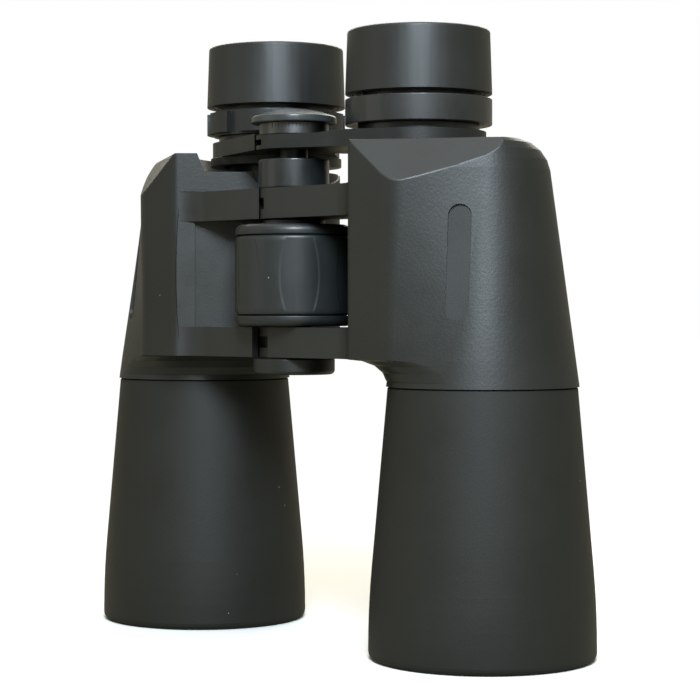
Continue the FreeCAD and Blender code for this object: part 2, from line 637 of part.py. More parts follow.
# ---------------------------------------------------------------- one half's housing
def prism_housing(forked):
    """Die-cast housing with its hinge arms and the exposed panel between them."""
    inset = ARMOUR + SKIN_GAP
    body = housing_body(inset)
    body = body.cut(box((-50, -100, Z_COVER), (150, 100, Z_TOP)))
    panel = housing_body(0).common(wall_panel(0))
    arms = [hinge_arm(Z_BLOCK, Z_LOWER_TOP, forked), hinge_arm(Z_UPPER, Z_UPPER_TOP, forked)]
    body = fused(body, panel, *arms)
    lower = block_between(WALL_INSET, Z_FLOOR, Z_PLATE)
    upper = block_between(inset + HOUSING_WALL, Z_PLATE, Z_COVER)
    point, normal = facet_plane(inset + HOUSING_WALL)
    upper = upper.cut(above_plane(point, normal))
    light = cylinder(SPIGOT_RADIUS - TUBE_WALL, Z_NECK, Z_FLOOR + 1, OBJECTIVE)
    socket = cylinder(SPIGOT_RADIUS + FIT, Z_NECK, Z_NECK + SPIGOT_LENGTH + SKIN_GAP, OBJECTIVE)
    relief = cylinder(WHEEL_RADIUS + WHEEL_RELIEF, Z_LOWER_TOP, Z_UPPER)
    axle = cylinder(AXLE_RADIUS + FIT, Z_NECK, Z_COVER)
    body = body.cut([lower, upper, light, socket, relief, axle, wall_pocket()])
    bosses = []
    holes = []
    outside = housing_body(inset)
    for level in (Z_COVER, Z_PLATE):
        for place in screw_places(level):
            bosses.append(cylinder(BOSS_RADIUS, level - BOSS_LENGTH, level, place).common(outside))
            holes.append(cylinder(SCREW_RADIUS + FIT, level - SCREW_LENGTH, level, place))
    lug_hole = lug_shank(FIT)
    return fused(body, *bosses).cut(holes + [lug_hole])


def housing_armour():
    """Rubber skin over the housing, open at the metal panel and round the eyepiece collar."""
    skin = outer_skin().cut(housing_body(ARMOUR))
    collar = cylinder(COLLAR_RADIUS + SKIN_GAP, Z_COVER, Z_TOP, EYE)
    neck = cylinder(HOUSING_BASE_RADIUS - ARMOUR, Z_NECK - 1, Z_NECK + NECK_FILLET / 2, OBJECTIVE)
    relief = cylinder(WHEEL_RADIUS + WHEEL_RELIEF, Z_LOWER_TOP, Z_UPPER)
    return skin.cut([wall_panel(SKIN_GAP), collar, neck, relief, thumb_slot(), lug_shank(SKIN_GAP),
                     armour_end()])


def thumb_slot():
    """Long round-ended slot that leans with the housing's taper."""
    turn = math.radians(SLOT_ANGLE - 90)
    low = Z_BLOCK + SLOT_RISE + SLOT_WIDTH / 2
    high = low + SLOT_HEIGHT - SLOT_WIDTH
    ends = []
    for height in (low, high):
        reach = housing_radius(height) / math.cos(side_bearing(height) - turn)
        ends.append(Vector(OBJECTIVE[0] + reach * math.cos(turn),
                           OBJECTIVE[1] + reach * math.sin(turn), height))
    side = side_bearing((low + high) / 2)
    level = Vector(-math.sin(side), math.cos(side), 0)
    normal = level.cross(ends[1] - ends[0]).normalize()
    across = normal.cross(ends[1] - ends[0]).normalize() * (SLOT_WIDTH / 2)
    corners = [ends[0] - across, ends[1] - across, ends[1] + across, ends[0] + across]
    wire = Part.makePolygon([p - normal * SLOT_DEPTH for p in corners + corners[:1]])
    slot = Part.Face(wire).extrude(normal * 4)
    rounds = [Part.makeCylinder(SLOT_WIDTH / 2, 4, p - normal * SLOT_DEPTH, normal) for p in ends]
    return slot.fuse(rounds)


def top_cover():
    """Cast cover over the prisms, with the collar that guides the eyepiece tube."""
    inset = ARMOUR + SKIN_GAP
    body = housing_body(inset).common(box((-50, -100, Z_COVER), (150, 100, Z_TOP)))
    pocket = block_between(inset + COVER_THICK, Z_COVER - 1, Z_HOUSING_TOP - inset - COVER_THICK)
    body = body.cut(pocket.cut(top_cuts(inset + COVER_THICK)))
    collar = cylinder(COLLAR_RADIUS, Z_COVER, Z_LEDGE + COLLAR_PROUD, EYE)
    guide = cylinder(TUBE_RADIUS + GUIDE_WALL, Z_COVER, Z_LEDGE, EYE)
    bore = cylinder(TUBE_RADIUS + FIT, Z_COVER - 1, Z_TOP, EYE)
    keep = block_between(inset + HOUSING_WALL, Z_COVER, Z_LEDGE)
    pads = [cylinder(BOSS_RADIUS, Z_COVER, Z_LEDGE - inset - 1, place).common(keep)
            for place in screw_places(Z_COVER)]
    seats = []
    for place in screw_places(Z_COVER):
        seats.append(cylinder(SCREW_RADIUS + FIT, Z_COVER - 1, Z_TOP, place))
        seats.append(cylinder(SCREW_HEAD + FIT, Z_LEDGE - inset - COVER_THICK / 2, Z_TOP, place))
    return fused(body, collar, guide.common(keep), *pads).cut(seats + [bore])


def screws(level, head_low, head_high):
    """Three screws that hold a cover or plate down on the housing."""
    pieces = []
    for place in screw_places(level):
        shank = cylinder(SCREW_RADIUS, level - SCREW_LENGTH + 1, head_low, place)
        head = cylinder(SCREW_HEAD, head_low, head_high, place)
        pieces.append(fused(shank, head))
    return Part.makeCompound(pieces)


# ---------------------------------------------------------------- prisms
def porro_prism(start, end, base, up):
    """Half-square prism over the stretch from start to end, apex up or down."""
    along = Vector(end[0] - start[0], end[1] - start[1], 0).normalize()
    across = UP.cross(along) * (APERTURE / 2)
    centre = Vector((start[0] + end[0]) / 2, (start[1] + end[1]) / 2, base)
    reach = PRISM_REACH
    rise = UP * up
    profile = [centre - along * reach, centre + along * reach,
               centre + along * PRISM_FLAT + rise * (reach - PRISM_FLAT),
               centre - along * PRISM_FLAT + rise * (reach - PRISM_FLAT)]
    wire = Part.makePolygon([p - across for p in profile + profile[:1]])
    return Part.Face(wire).extrude(across * 2)


def prism_clip(start, end, base, up):
    """Thin spring strap over a prism, with a foot at each end on the plate."""
    along = Vector(end[0] - start[0], end[1] - start[1], 0).normalize()
    across = UP.cross(along) * (CLIP_WIDTH / 2)
    centre = Vector((start[0] + end[0]) / 2, (start[1] + end[1]) / 2, base)
    inner = PRISM_REACH + LENS_GAP * math.sqrt(2)
    outer = inner + CLIP_THICK * math.sqrt(2)
    rise = UP * up
    flat = PRISM_FLAT
    outline = [(inner + CLIP_FOOT, 0), (inner + CLIP_FOOT, CLIP_THICK), (outer - CLIP_THICK, CLIP_THICK),
               (flat, outer - flat), (-flat, outer - flat), (CLIP_THICK - outer, CLIP_THICK),
               (-inner - CLIP_FOOT, CLIP_THICK), (-inner - CLIP_FOOT, 0), (-inner, 0),
               (-flat, inner - flat), (flat, inner - flat), (inner, 0)]
    points = [centre + along * a + rise * h - across for a, h in outline]
    wire = Part.makePolygon(points + points[:1])
    return Part.Face(wire).extrude(across * 2)


def prism_plate():
    plate = block_between(ARMOUR + 2 * SKIN_GAP + HOUSING_WALL, Z_PLATE, Z_PLATE_TOP)
    openings = [cylinder(APERTURE / 2 - 1, Z_PLATE - 1, Z_PLATE_TOP + 1, place)
                for place in (OBJECTIVE, MIDDLE, EYE)]
    holes = [cylinder(SCREW_RADIUS + FIT, Z_PLATE - 1, Z_PLATE_TOP + 1, place)
             for place in screw_places(Z_PLATE)]
    return plate.cut(openings + holes)


def prisms():
    upper = porro_prism(OBJECTIVE, MIDDLE, Z_PLATE_TOP, 1)
    lower = porro_prism(MIDDLE, EYE, Z_PLATE, -1)
    return Part.makeCompound([upper, lower])


def prism_clips():
    upper = prism_clip(OBJECTIVE, MIDDLE, Z_PLATE_TOP, 1)
    lower = prism_clip(MIDDLE, EYE, Z_PLATE, -1)
    return Part.makeCompound([upper, lower])


# ---------------------------------------------------------------- objective
def objective_tube():
    skin = TUBE_SKIN + SKIN_GAP
    front = FRONT_RADIUS - skin
    neck = NECK_RADIUS - skin
    bore = LENS_RADIUS + TUBE_WALL + 2 * LENS_GAP
    shoulder = LENS_SETBACK + 9
    top = Z_NECK + SPIGOT_LENGTH
    return turned([
        (bore, FRONT_LIP + SKIN_GAP), (front, FRONT_LIP + SKIN_GAP), (front, FRONT_LENGTH),
        (neck, Z_NECK), (SPIGOT_RADIUS, Z_NECK), (SPIGOT_RADIUS, top), (SPIGOT_RADIUS - TUBE_WALL, top),
        (SPIGOT_RADIUS - TUBE_WALL, Z_NECK - TUBE_WALL), (neck - TUBE_WALL, Z_NECK - 2 * TUBE_WALL),
        (front - TUBE_WALL, shoulder + TUBE_WALL), (LENS_RADIUS - 1, shoulder + TUBE_WALL),
        (LENS_RADIUS - 1, shoulder),
        (bore, shoulder)], OBJECTIVE)


def objective_armour():
    top = Z_NECK - TUBE_SEAM
    inner_front = FRONT_RADIUS - TUBE_SKIN
    inner_neck = NECK_RADIUS - TUBE_SKIN
    lip = LENS_RADIUS + TUBE_WALL + 2 * LENS_GAP
    corner = [(FRONT_RADIUS - FRONT_EDGE * (1 - math.sin(math.radians(angle))),
               FRONT_EDGE * (1 - math.cos(math.radians(angle)))) for angle in (0, 22.5, 45, 67.5, 90)]
    taper = (FRONT_RADIUS - NECK_RADIUS) / (top - NECK_EDGE - FRONT_LENGTH)
    blend = [(FRONT_RADIUS - taper * TAPER_BLEND * share ** 2, FRONT_LENGTH + TAPER_BLEND * (2 * share - 1))
             for share in (0, 0.2, 0.4, 0.6, 0.8, 1)]
    return turned([(lip, 0)] + corner + blend + [
        (NECK_RADIUS, top - NECK_EDGE), (NECK_RADIUS - NECK_EDGE, top), (inner_neck, top),
        (inner_front, FRONT_LENGTH), (inner_front, FRONT_LIP), (lip, FRONT_LIP)], OBJECTIVE)


def objective_cell():
    outer = LENS_RADIUS + TUBE_WALL + LENS_GAP
    top = LENS_SETBACK + 9
    return turned([
        (LENS_RADIUS + LENS_GAP, LENS_SETBACK), (outer, LENS_SETBACK), (outer, top), (LENS_RADIUS - 1, top),
        (LENS_RADIUS - 1, top - 1), (LENS_RADIUS + LENS_GAP, top - 1)], OBJECTIVE)


def objective_lock_ring():
    outer = LENS_RADIUS + TUBE_WALL + LENS_GAP
    return turned([
        (LENS_RADIUS - 1, LENS_SETBACK - 2), (outer, LENS_SETBACK - 2), (outer, LENS_SETBACK),
        (LENS_RADIUS - 1, LENS_SETBACK)], OBJECTIVE)


def objective_lens():
    """Crown and flint glasses, cemented with a thin seam."""
    low = LENS_SETBACK + LENS_GAP - 1.5
    seam = low + 5.0
    top = LENS_SETBACK + 8 - LENS_GAP
    crown = lens(LENS_RADIUS, low, seam, 1.5, 1.5, OBJECTIVE)
    flint = lens(LENS_RADIUS, seam + FIT, top, -1.5, 0.4, OBJECTIVE)
    return Part.makeCompound([crown, flint])


# ---------------------------------------------------------------- strap lug
def lug_level():
    return Z_BLOCK + LUG_RISE


def lug_seat():
    """Face of the lug's base, just clear of the leaning back wall."""
    return OBJECTIVE[1] + housing_radius(lug_level() - LUG_BASE_RADIUS) + LUG_STANDOFF


def lug_shank(grow):
    inside = lug_seat() - ARMOUR - HOUSING_WALL
    return Part.makeCylinder(LUG_SHANK_RADIUS + grow, lug_seat() - inside + 1,
                             Vector(LUG_X, inside, lug_level()), Vector(0, 1, 0))


def strap_lug():
    seat = lug_seat()
    base = Part.makeCylinder(LUG_BASE_RADIUS, LUG_BASE, Vector(LUG_X, seat, lug_level()), Vector(0, 1, 0))
    eye = seat + LUG_BASE + LUG_EAR_RADIUS
    half = LUG_EAR_THICK / 2
    ear = Part.makeCylinder(LUG_EAR_RADIUS, LUG_EAR_THICK, Vector(LUG_X - half, eye, lug_level()),
                            Vector(1, 0, 0))
    web = box((LUG_X - half, seat, lug_level() - LUG_EAR_RADIUS * 0.9),
              (LUG_X + half, eye, lug_level() + LUG_EAR_RADIUS * 0.9))
    hole = Part.makeCylinder(LUG_HOLE_RADIUS, LUG_EAR_THICK + 2, Vector(LUG_X - half - 1, eye, lug_level()),
                             Vector(1, 0, 0))
    return fused(base, ear, web, lug_shank(0)).cut(hole)


# ---------------------------------------------------------------- eyepiece
def eyepiece_barrel(windowed):
    """Sliding tube with the wider barrel that carries the eye lens and eyecup."""
    top = Z_BARREL_TOP
    bore = CELL_RADIUS + FIT
    barrel = turned([
        (TUBE_BORE, Z_TUBE), (TUBE_RADIUS, Z_TUBE), (TUBE_RADIUS, Z_BRIDGE_TOP),
        (BARREL_FLANGE, Z_BRIDGE_TOP), (BARREL_FLANGE, Z_RING - SKIN_GAP),
        (BARREL_RADIUS, Z_RING - SKIN_GAP), (BARREL_RADIUS, top), (bore, top), (bore, Z_RING),
        (TUBE_BORE, Z_RING)], EYE)
    if windowed:
        barrel = barrel.cut(pin_window())
    return barrel


def pin_height():
    return Z_RING + RING_HEIGHT / 2


def pin_window():
    """Slot in the barrel that lets the dioptre ring's pin swing."""
    half = DIOPTRE_PIN_RADIUS + 0.3
    ring = tube(BARREL_RADIUS + 1, CELL_RADIUS - 1, pin_height() - half, pin_height() + half, EYE)
    limit = math.radians(DIOPTRE_TRAVEL + 8)
    reach = 40.0
    aside = reach * math.sin(limit)
    ahead = EYE[1] + reach * math.cos(limit)
    wedge = prism([EYE, (EYE[0] - aside, ahead), (EYE[0], EYE[1] + reach), (EYE[0] + aside, ahead)],
                  pin_height() - half, pin_height() + half)
    return ring.common(wedge)


def dioptre_pin():
    start = CELL_RADIUS + FIT + 0.05
    return Part.makeCylinder(DIOPTRE_PIN_RADIUS, DIOPTRE_BASE - 0.3 - start,
                             Vector(EYE[0], EYE[1] + start, pin_height()), Vector(0, 1, 0))


def grip_ring():
    return tube(RING_RADIUS, BARREL_RADIUS + FIT, Z_RING, Z_RING_TOP, EYE)


def dioptre_ring():
    """Turning ring with raised grip pads all round."""
    ring = tube(DIOPTRE_BASE, BARREL_RADIUS + FIT, Z_RING, Z_RING_TOP, EYE)
    pads = []
    tall = RING_HEIGHT - 2 * DIOPTRE_PAD_SHORT
    for index in range(DIOPTRE_PADS):
        pad = Part.makeCylinder(RING_RADIUS, tall, Vector(), UP, DIOPTRE_PAD_ANGLE)
        pad.rotate(Vector(), UP, DIOPTRE_PAD_START + index * 360 / DIOPTRE_PADS)
        pad.translate(Vector(EYE[0], EYE[1], Z_RING + DIOPTRE_PAD_SHORT))
        pads.append(pad)
    hole = Part.makeCylinder(DIOPTRE_PIN_RADIUS + FIT, RING_RADIUS,
                             Vector(EYE[0], EYE[1], pin_height()), Vector(0, 1, 0))
    blank = cylinder(BARREL_RADIUS + FIT, Z_RING, Z_RING_TOP, EYE)
    return fused(ring, *pads).cut([blank, hole])


def ocular_lip():
    """Height of the eye lens's rim, just under the cell's lip."""
    return Z_BARREL_TOP - CELL_DROP - CELL_LIP - SPACER_GAP


def ocular_cell():
    """Cell that slides in the barrel, with a lip over the eye lens."""
    low = Z_RING + CELL_LIFT
    top = Z_BARREL_TOP - CELL_DROP
    inner = CELL_RADIUS - CELL_WALL
    return turned([(inner, low), (CELL_RADIUS, low), (CELL_RADIUS, top), (inner - CELL_LIP, top),
                   (inner - CELL_LIP, top - CELL_LIP), (inner, top - CELL_LIP)], EYE)


def ocular_lenses():
    radius = CELL_RADIUS - CELL_WALL - LENS_GAP
    top = ocular_lip()
    eye = lens(radius, top - EYE_LENS, top + EYE_BULGE, FIELD_BULGE, EYE_BULGE, EYE)
    low = Z_RING + FIELD_LIFT
    field = lens(radius, low, low + FIELD_LENS, EYE_BULGE, FIELD_BULGE, EYE)
    return Part.makeCompound([eye, field])


def lens_spacer():
    radius = CELL_RADIUS - CELL_WALL - LENS_GAP
    low = Z_RING + FIELD_LIFT + FIELD_LENS - FIELD_BULGE + SPACER_GAP
    high = ocular_lip() - EYE_LENS + FIELD_BULGE - SPACER_GAP
    return tube(radius, radius - 1, low, high, EYE)


def field_stop():
    low = Z_BRIDGE - 1
    return tube(TUBE_BORE - FIT, FIELD_STOP_OPENING, low, low + FIELD_STOP_THICK, EYE)


def click_ring():
    """Ring that turns on the barrel and drives the eyecup up its slots."""
    inner = BARREL_RADIUS + FIT
    return tube(inner + CLICK_WALL, inner, Z_EYECUP, Z_BARREL_TOP - CELL_DROP, EYE)


def eyecup_sleeve():
    inner = BARREL_RADIUS + CLICK_WALL + 2 * FIT
    outer = inner + SLEEVE_WALL
    top = Z_TOP - EYECUP_LIP
    return turned([(inner, Z_EYECUP + 0.2), (outer, Z_EYECUP + 0.2), (outer, top), (EYECUP_OPENING, top),
                   (EYECUP_OPENING, top - 1), (inner, top - 1)], EYE)


def eyecup():
    inner = BARREL_RADIUS + CLICK_WALL + 2 * FIT + SLEEVE_WALL + FIT
    shelf = Z_TOP - EYECUP_LIP + FIT
    corner = [(EYECUP_TOP_RADIUS - EYECUP_EDGE * (1 - math.cos(math.radians(angle))),
               Z_TOP - EYECUP_EDGE * (1 - math.sin(math.radians(angle)))) for angle in (0, 30, 60, 90)]
    return turned([(inner, Z_EYECUP), (EYECUP_RADIUS, Z_EYECUP)] + corner
                  + [(EYECUP_OPENING + 1, Z_TOP), (EYECUP_OPENING, Z_TOP - 1), (EYECUP_OPENING, shelf),
                     (inner, shelf)], EYE)


# ---------------------------------------------------------------- centre pieces
def hinge_post():
    """Upper hinge axle with its head, bored for the focus spindle."""
    axle = cylinder(AXLE_RADIUS, Z_WHEEL_TOP - WHEEL_SPIGOT, Z_UPPER_TOP)
    head = cylinder(POST_HEAD_RADIUS, Z_UPPER_TOP, Z_POST_TOP)
    return fused(axle, head).cut(cylinder(SPINDLE_RADIUS + FIT, Z_WHEEL, Z_POST_TOP))


def tripod_bush():
    """Lower hinge axle, with the tripod thread in its flange."""
    flange = cylinder(TRIPOD_BUSH_RADIUS, Z_BLOCK - TRIPOD_BUSH_FLANGE, Z_BLOCK)
    axle = cylinder(AXLE_RADIUS, Z_BLOCK, Z_WHEEL + WHEEL_SPIGOT)
    mouth = Z_BLOCK - TRIPOD_BUSH_FLANGE
    return fused(flange, axle).cut(cylinder(TRIPOD_HOLE_RADIUS, mouth, mouth + TRIPOD_HOLE_DEPTH))


def tripod_cap():
    top = Z_BLOCK - MOVE_GAP
    low = top - TRIPOD_CAP_HEIGHT
    return turned([
        (0, low), (TRIPOD_CAP_RADIUS - 0.8, low), (TRIPOD_CAP_RADIUS, low + 0.8), (TRIPOD_CAP_RADIUS, top),
        (TRIPOD_BUSH_RADIUS + FIT, top), (TRIPOD_BUSH_RADIUS + FIT, Z_BLOCK - TRIPOD_BUSH_FLANGE - SKIN_GAP),
        (0, Z_BLOCK - TRIPOD_BUSH_FLANGE - SKIN_GAP)])


def focus_wheel_core():
    """Wheel body with a rim at each end and a seat for the nut."""
    rims = [cylinder(WHEEL_RADIUS, Z_WHEEL, Z_WHEEL + WHEEL_RIM),
            cylinder(WHEEL_RADIUS, Z_WHEEL_TOP - WHEEL_RIM, Z_WHEEL_TOP)]
    body = fused(cylinder(WHEEL_RADIUS - GRIP_THICK - SKIN_GAP, Z_WHEEL, Z_WHEEL_TOP), *rims)
    ends = [edge_ for edge_ in body.Edges
            if abs(edge_.Length - 2 * math.pi * WHEEL_RADIUS) < 0.1
            and (abs(edge_.CenterOfMass.z - Z_WHEEL) < 0.1 or abs(edge_.CenterOfMass.z - Z_WHEEL_TOP) < 0.1)]
    body = body.makeFillet(WHEEL_EDGE, ends)
    body = fused(body, cylinder(WHEEL_BOSS_RADIUS, Z_WHEEL_TOP, Z_WHEEL_TOP + WHEEL_BOSS))
    nut_low, nut_high = nut_levels()
    return body.cut([
        cylinder(AXLE_RADIUS + FIT, Z_WHEEL - 1, nut_low), cylinder(AXLE_RADIUS + FIT, nut_high, Z_UPPER),
        cylinder(NUT_RADIUS + FIT, nut_low, nut_high)])


def nut_levels():
    return Z_WHEEL + WHEEL_SPIGOT + 1, Z_WHEEL_TOP - WHEEL_SPIGOT - 1


def focus_nut():
    low, high = nut_levels()
    return tube(NUT_RADIUS, SPINDLE_RADIUS + FIT, low, high)


def focus_wheel_grip():
    return tube(WHEEL_RADIUS, WHEEL_RADIUS - GRIP_THICK, Z_WHEEL + WHEEL_RIM + SKIN_GAP,
                Z_WHEEL_TOP - WHEEL_RIM - SKIN_GAP)


def focus_spindle():
    """Threaded rod that lifts the bridge. It runs from inside the nut to the bridge cap."""
    low, high = nut_levels()
    return cylinder(SPINDLE_RADIUS, (low + high) / 2 - 4, Z_BRIDGE_TOP + SCALE_THICK)


def scale_ring():
    return tube(SCALE_RADIUS, SPINDLE_RADIUS + FIT, Z_HUB_TOP + SKIN_GAP, Z_BRIDGE_TOP + SCALE_THICK)


def bridge_cap():
    low = Z_BRIDGE_TOP + SCALE_THICK
    ball = (CAP_RADIUS ** 2 + CAP_DOME ** 2) / (2 * CAP_DOME)
    dome = []
    for share in (1, 0.8, 0.6, 0.4, 0.2, 0):
        reach = CAP_RADIUS * share
        dome.append((reach, low + CAP_RIM + math.sqrt(ball ** 2 - reach ** 2) - ball + CAP_DOME))
    return turned([(0, low), (CAP_RADIUS, low)] + dome)


# ---------------------------------------------------------------- write every node
def half_nodes(side, forked):
    return {
        side + "_prism_housing": prism_housing(forked),
        side + "_housing_armour": housing_armour(),
        side + "_top_cover": top_cover(),
        side + "_cover_screws": screws(Z_COVER, Z_LEDGE - ARMOUR - SKIN_GAP - COVER_THICK / 2,
                                       Z_LEDGE - ARMOUR - SKIN_GAP - SKIN_GAP),
        side + "_prism_plate": prism_plate(),
        side + "_plate_screws": screws(Z_PLATE, Z_PLATE_TOP, Z_PLATE_TOP + 1),
        side + "_prisms": prisms(),
        side + "_prism_clips": prism_clips(),
        side + "_objective_tube": objective_tube(),
        side + "_objective_armour": objective_armour(),
        side + "_objective_cell": objective_cell(),
        side + "_objective_lock_ring": objective_lock_ring(),
        side + "_objective_lens": objective_lens(),
        side + "_strap_lug": strap_lug(),
        side + "_bridge_arm": bridge_arm(forked),
        side + "_eyepiece_barrel": eyepiece_barrel(not forked),
        side + "_field_stop": field_stop(),
        side + "_ocular_cell": ocular_cell(),
        side + "_ocular_lenses": ocular_lenses(),
        side + "_lens_spacer": lens_spacer(),
        side + "_click_ring": click_ring(),
        side + "_eyecup_sleeve": eyecup_sleeve(),
        side + "_eyecup": eyecup(),
    }


def centre_nodes():
    return {
        "hinge_post": hinge_post(),
        "tripod_bush": tripod_bush(),
        "tripod_cap": tripod_cap(),
        "focus_wheel_core": focus_wheel_core(),
        "focus_nut": focus_nut(),
        "focus_wheel_grip": focus_wheel_grip(),
        "focus_spindle": focus_spindle(),
        "interpupillary_scale": scale_ring(),
        "bridge_cap": bridge_cap(),
    }


def all_nodes():
    nodes = half_nodes("left", True)
    nodes["left_eyepiece_ring"] = grip_ring()
    right = half_nodes("right", False)
    right["dioptre_ring"] = dioptre_ring()
    right["dioptre_pin"] = dioptre_pin()
    for name, shape in right.items():
        nodes[name] = shape.mirror(Vector(), Vector(1, 0, 0))
    nodes.update(centre_nodes())
    return nodes


def main():
    os.makedirs("parts", exist_ok=True)
    for name, shape in all_nodes().items():
        placed = shape.copy()
        placed.translate(Vector(0, HINGE_Y, 0))
        placed.exportStep("parts/" + name + ".step")
        print(name, len(placed.Solids), placed.isValid(), round(placed.Volume, 1))


main()
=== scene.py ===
"""Finishes, fine detail and studio for a pair of centre-focus Porro prism binoculars.

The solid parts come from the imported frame. This file rounds the edges of the cast and turned ones,
gives each of them its finish, adds the moulded focus wheel grip and the eye-spacing marks, and sets
the stage. Lengths are in metres.
"""
import json
import math

import bmesh
import bpy
from bpy.props import FloatProperty, FloatVectorProperty, IntProperty, PointerProperty
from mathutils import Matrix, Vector

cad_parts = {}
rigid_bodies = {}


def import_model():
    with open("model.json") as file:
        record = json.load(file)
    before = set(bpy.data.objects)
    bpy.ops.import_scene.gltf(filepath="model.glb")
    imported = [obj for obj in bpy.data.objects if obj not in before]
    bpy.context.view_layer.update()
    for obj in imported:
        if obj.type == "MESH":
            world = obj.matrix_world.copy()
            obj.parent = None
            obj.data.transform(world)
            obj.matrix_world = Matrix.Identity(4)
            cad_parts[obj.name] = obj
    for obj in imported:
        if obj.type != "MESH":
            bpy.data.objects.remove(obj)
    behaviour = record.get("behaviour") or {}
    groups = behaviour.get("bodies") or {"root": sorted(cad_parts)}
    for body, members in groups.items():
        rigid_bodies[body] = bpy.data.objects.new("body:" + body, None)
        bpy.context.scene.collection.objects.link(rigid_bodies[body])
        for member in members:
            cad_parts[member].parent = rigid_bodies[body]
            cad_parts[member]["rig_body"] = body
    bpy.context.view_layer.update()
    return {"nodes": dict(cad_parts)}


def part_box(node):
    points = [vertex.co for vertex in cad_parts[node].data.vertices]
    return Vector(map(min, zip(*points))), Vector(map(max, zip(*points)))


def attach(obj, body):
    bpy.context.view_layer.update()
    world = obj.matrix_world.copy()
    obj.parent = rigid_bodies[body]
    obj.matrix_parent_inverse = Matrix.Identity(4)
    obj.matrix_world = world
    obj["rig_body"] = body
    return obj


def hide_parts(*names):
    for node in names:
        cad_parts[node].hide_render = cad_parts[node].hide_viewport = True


bl_info = {
    "name": "Porro Prism Binoculars",
    "version": (1, 0, 0),
    "blender": (4, 5, 0),
    "location": "3D View > Sidebar > Binoculars",
    "description": "Finishes and fine detail for a pair of centre-focus binoculars",
    "category": "Add Mesh",
}

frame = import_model()
HALVES = ("left", "right")

# Middle line of the thumb slot's floor on the left half, and how far from it the floor reaches.
# Over that floor the rubber is drawn smoother and darkened with painted shade.
SLOT_LOW = (0.06666, -0.01992, 0.09635)
SLOT_HIGH = (0.06554, -0.01740, 0.12105)
SLOT_REACH = 0.00318
SLOT_FADE = 0.00003

# Rounding the sharp edges of a solid part.
WELD = 2e-6                        # corners nearer than this become one
FLAT = math.radians(0.5)           # faces within this turn are one flat face
SHARP = math.radians(28)           # edges that turn more than this are rounded
ROUNDING_STEPS = 3
FLAT_FACE_WEIGHT = 80              # how much large faces lead the shading

# Focus wheel grip.
GRIP_POINTS = (721, 61)            # round it and up it
GRIP_WALL = 0.0016
GRIP_PANEL_FADE = (0.86, 0.93)     # share of the half height where the panels run out
GRIP_END_TURN = (0.95, 1.0)        # share of the half height where the ends turn in
GRIP_WELD = 1e-6
GRIP_SHARP = math.radians(50)

# Eye-spacing marks.
MARK_DEPTH = 0.0002
MARK_SINK = 0.00003                # how far inside the scale's surface a mark's middle lies
MARK_DROP = 0.0010                 # from the scale's top edge to a mark's middle
LONG_MARK_EVERY = 5.0
LONG_MARK_EXTRA = 0.45             # as a share of a mark's height

# Colours of the dust that lies on each kind of surface.
DUST_ON_GRAIN = (0.22, 0.22, 0.20, 1)
DUST_ON_SATIN = (0.2, 0.2, 0.18, 1)
DUST_ON_GLOSS = (0.25, 0.25, 0.23, 1)
WHITE = (1, 1, 1, 1)
BLACK = (0, 0, 0, 1)

# Colours of the small parts and of the glass.
MARK_INK = (0.01, 0.01, 0.01)
BLACKENED_STEEL = (0.045, 0.046, 0.048)
EYEPIECE_ANODISING = (0.05, 0.052, 0.055)
CELL_ANODISING = (0.045, 0.046, 0.05)
LUG_ANODISING = (0.02, 0.021, 0.022)
SPRING_STEEL = (0.34, 0.35, 0.38)
BAFFLE_BLACK = (0.014, 0.014, 0.015)
PRISM_TINT = (0.93, 0.97, 0.96)
LENS_TINT = (0.95, 0.93, 0.97)
LENS_COATING = (0.85, 0.70, 1.0)
UNCOATED = (1.0, 1.0, 1.0)

WAVE_LENGTH = math.pi / 10         # of a wave texture at scale 1
RIDGE_SCALE = 300.0                # about 1 mm from one stray-light ridge to the next
MIX_FIRST, MIX_SECOND, MIXED = 6, 7, 2    # colour sockets of the mix node


# ------------------------------------------------- sizes and colours a user would change
def colour(name, description, default):
    return FloatVectorProperty(name=name, description=description, default=default, subtype="COLOR",
                               size=3, min=0.0, max=1.0)


def length(name, description, default):
    return FloatProperty(name=name, description=description, default=default, min=0.0,
                         unit="LENGTH", precision=5)


def angle(name, description, degrees):
    return FloatProperty(name=name, description=description, default=math.radians(degrees),
                         subtype="ANGLE")


class RubberSettings(bpy.types.PropertyGroup):
    housing: colour("Housing", "Rubber armour on the prism housings", (0.0105, 0.0112, 0.0098))
    tubes: colour("Tubes", "Rubber armour on the objective tubes", (0.0115, 0.0118, 0.0098))
    eyecups: colour("Eyecups", "Smooth rubber of the eyecups", (0.0105, 0.0112, 0.0102))
    grip: colour("Wheel grip", "Rubber round the focus wheel", (0.0125, 0.0150, 0.0150))
    grain: length("Grain", "Width of one cell of the moulded leather grain", 0.00075)
    grain_depth: length("Grain depth", "Height of the moulded grain", 0.000021)


class MetalSettings(bpy.types.PropertyGroup):
    paint: colour("Paint", "Satin black paint on the castings", (0.0135, 0.0142, 0.0128))
    gloss: colour("Gloss black", "Polished black of the post, rims and rings",
                  (0.008, 0.0095, 0.010))
    moulding: colour("Moulding", "Satin black plastic mouldings", (0.011, 0.0118, 0.0115))
    aluminium: colour("Aluminium", "Bare machined aluminium", (0.60, 0.61, 0.63))
    brass: colour("Brass", "Turned brass", (0.62, 0.44, 0.19))
    steel: colour("Steel", "Zinc plated steel", (0.50, 0.51, 0.53))


class WheelSettings(bpy.types.PropertyGroup):
    panels: IntProperty(name="Panels", description="Waisted panels round the grip", default=6,
                        min=2, max=16)
    first: angle("First panel", "Direction of the first panel's middle", -68.6)
    half_width: angle("Half width", "Half width of a panel at its ends", 19.0)
    waist: angle("Waist", "Half width of a panel at mid height", 12.0)
    relief: length("Relief", "How far a panel stands out", 0.00013)
    edge: angle("Edge", "Width of a panel's sloping edge", 2.6)
    groove: length("End groove", "How far the grip turns in at each end", 0.0006)


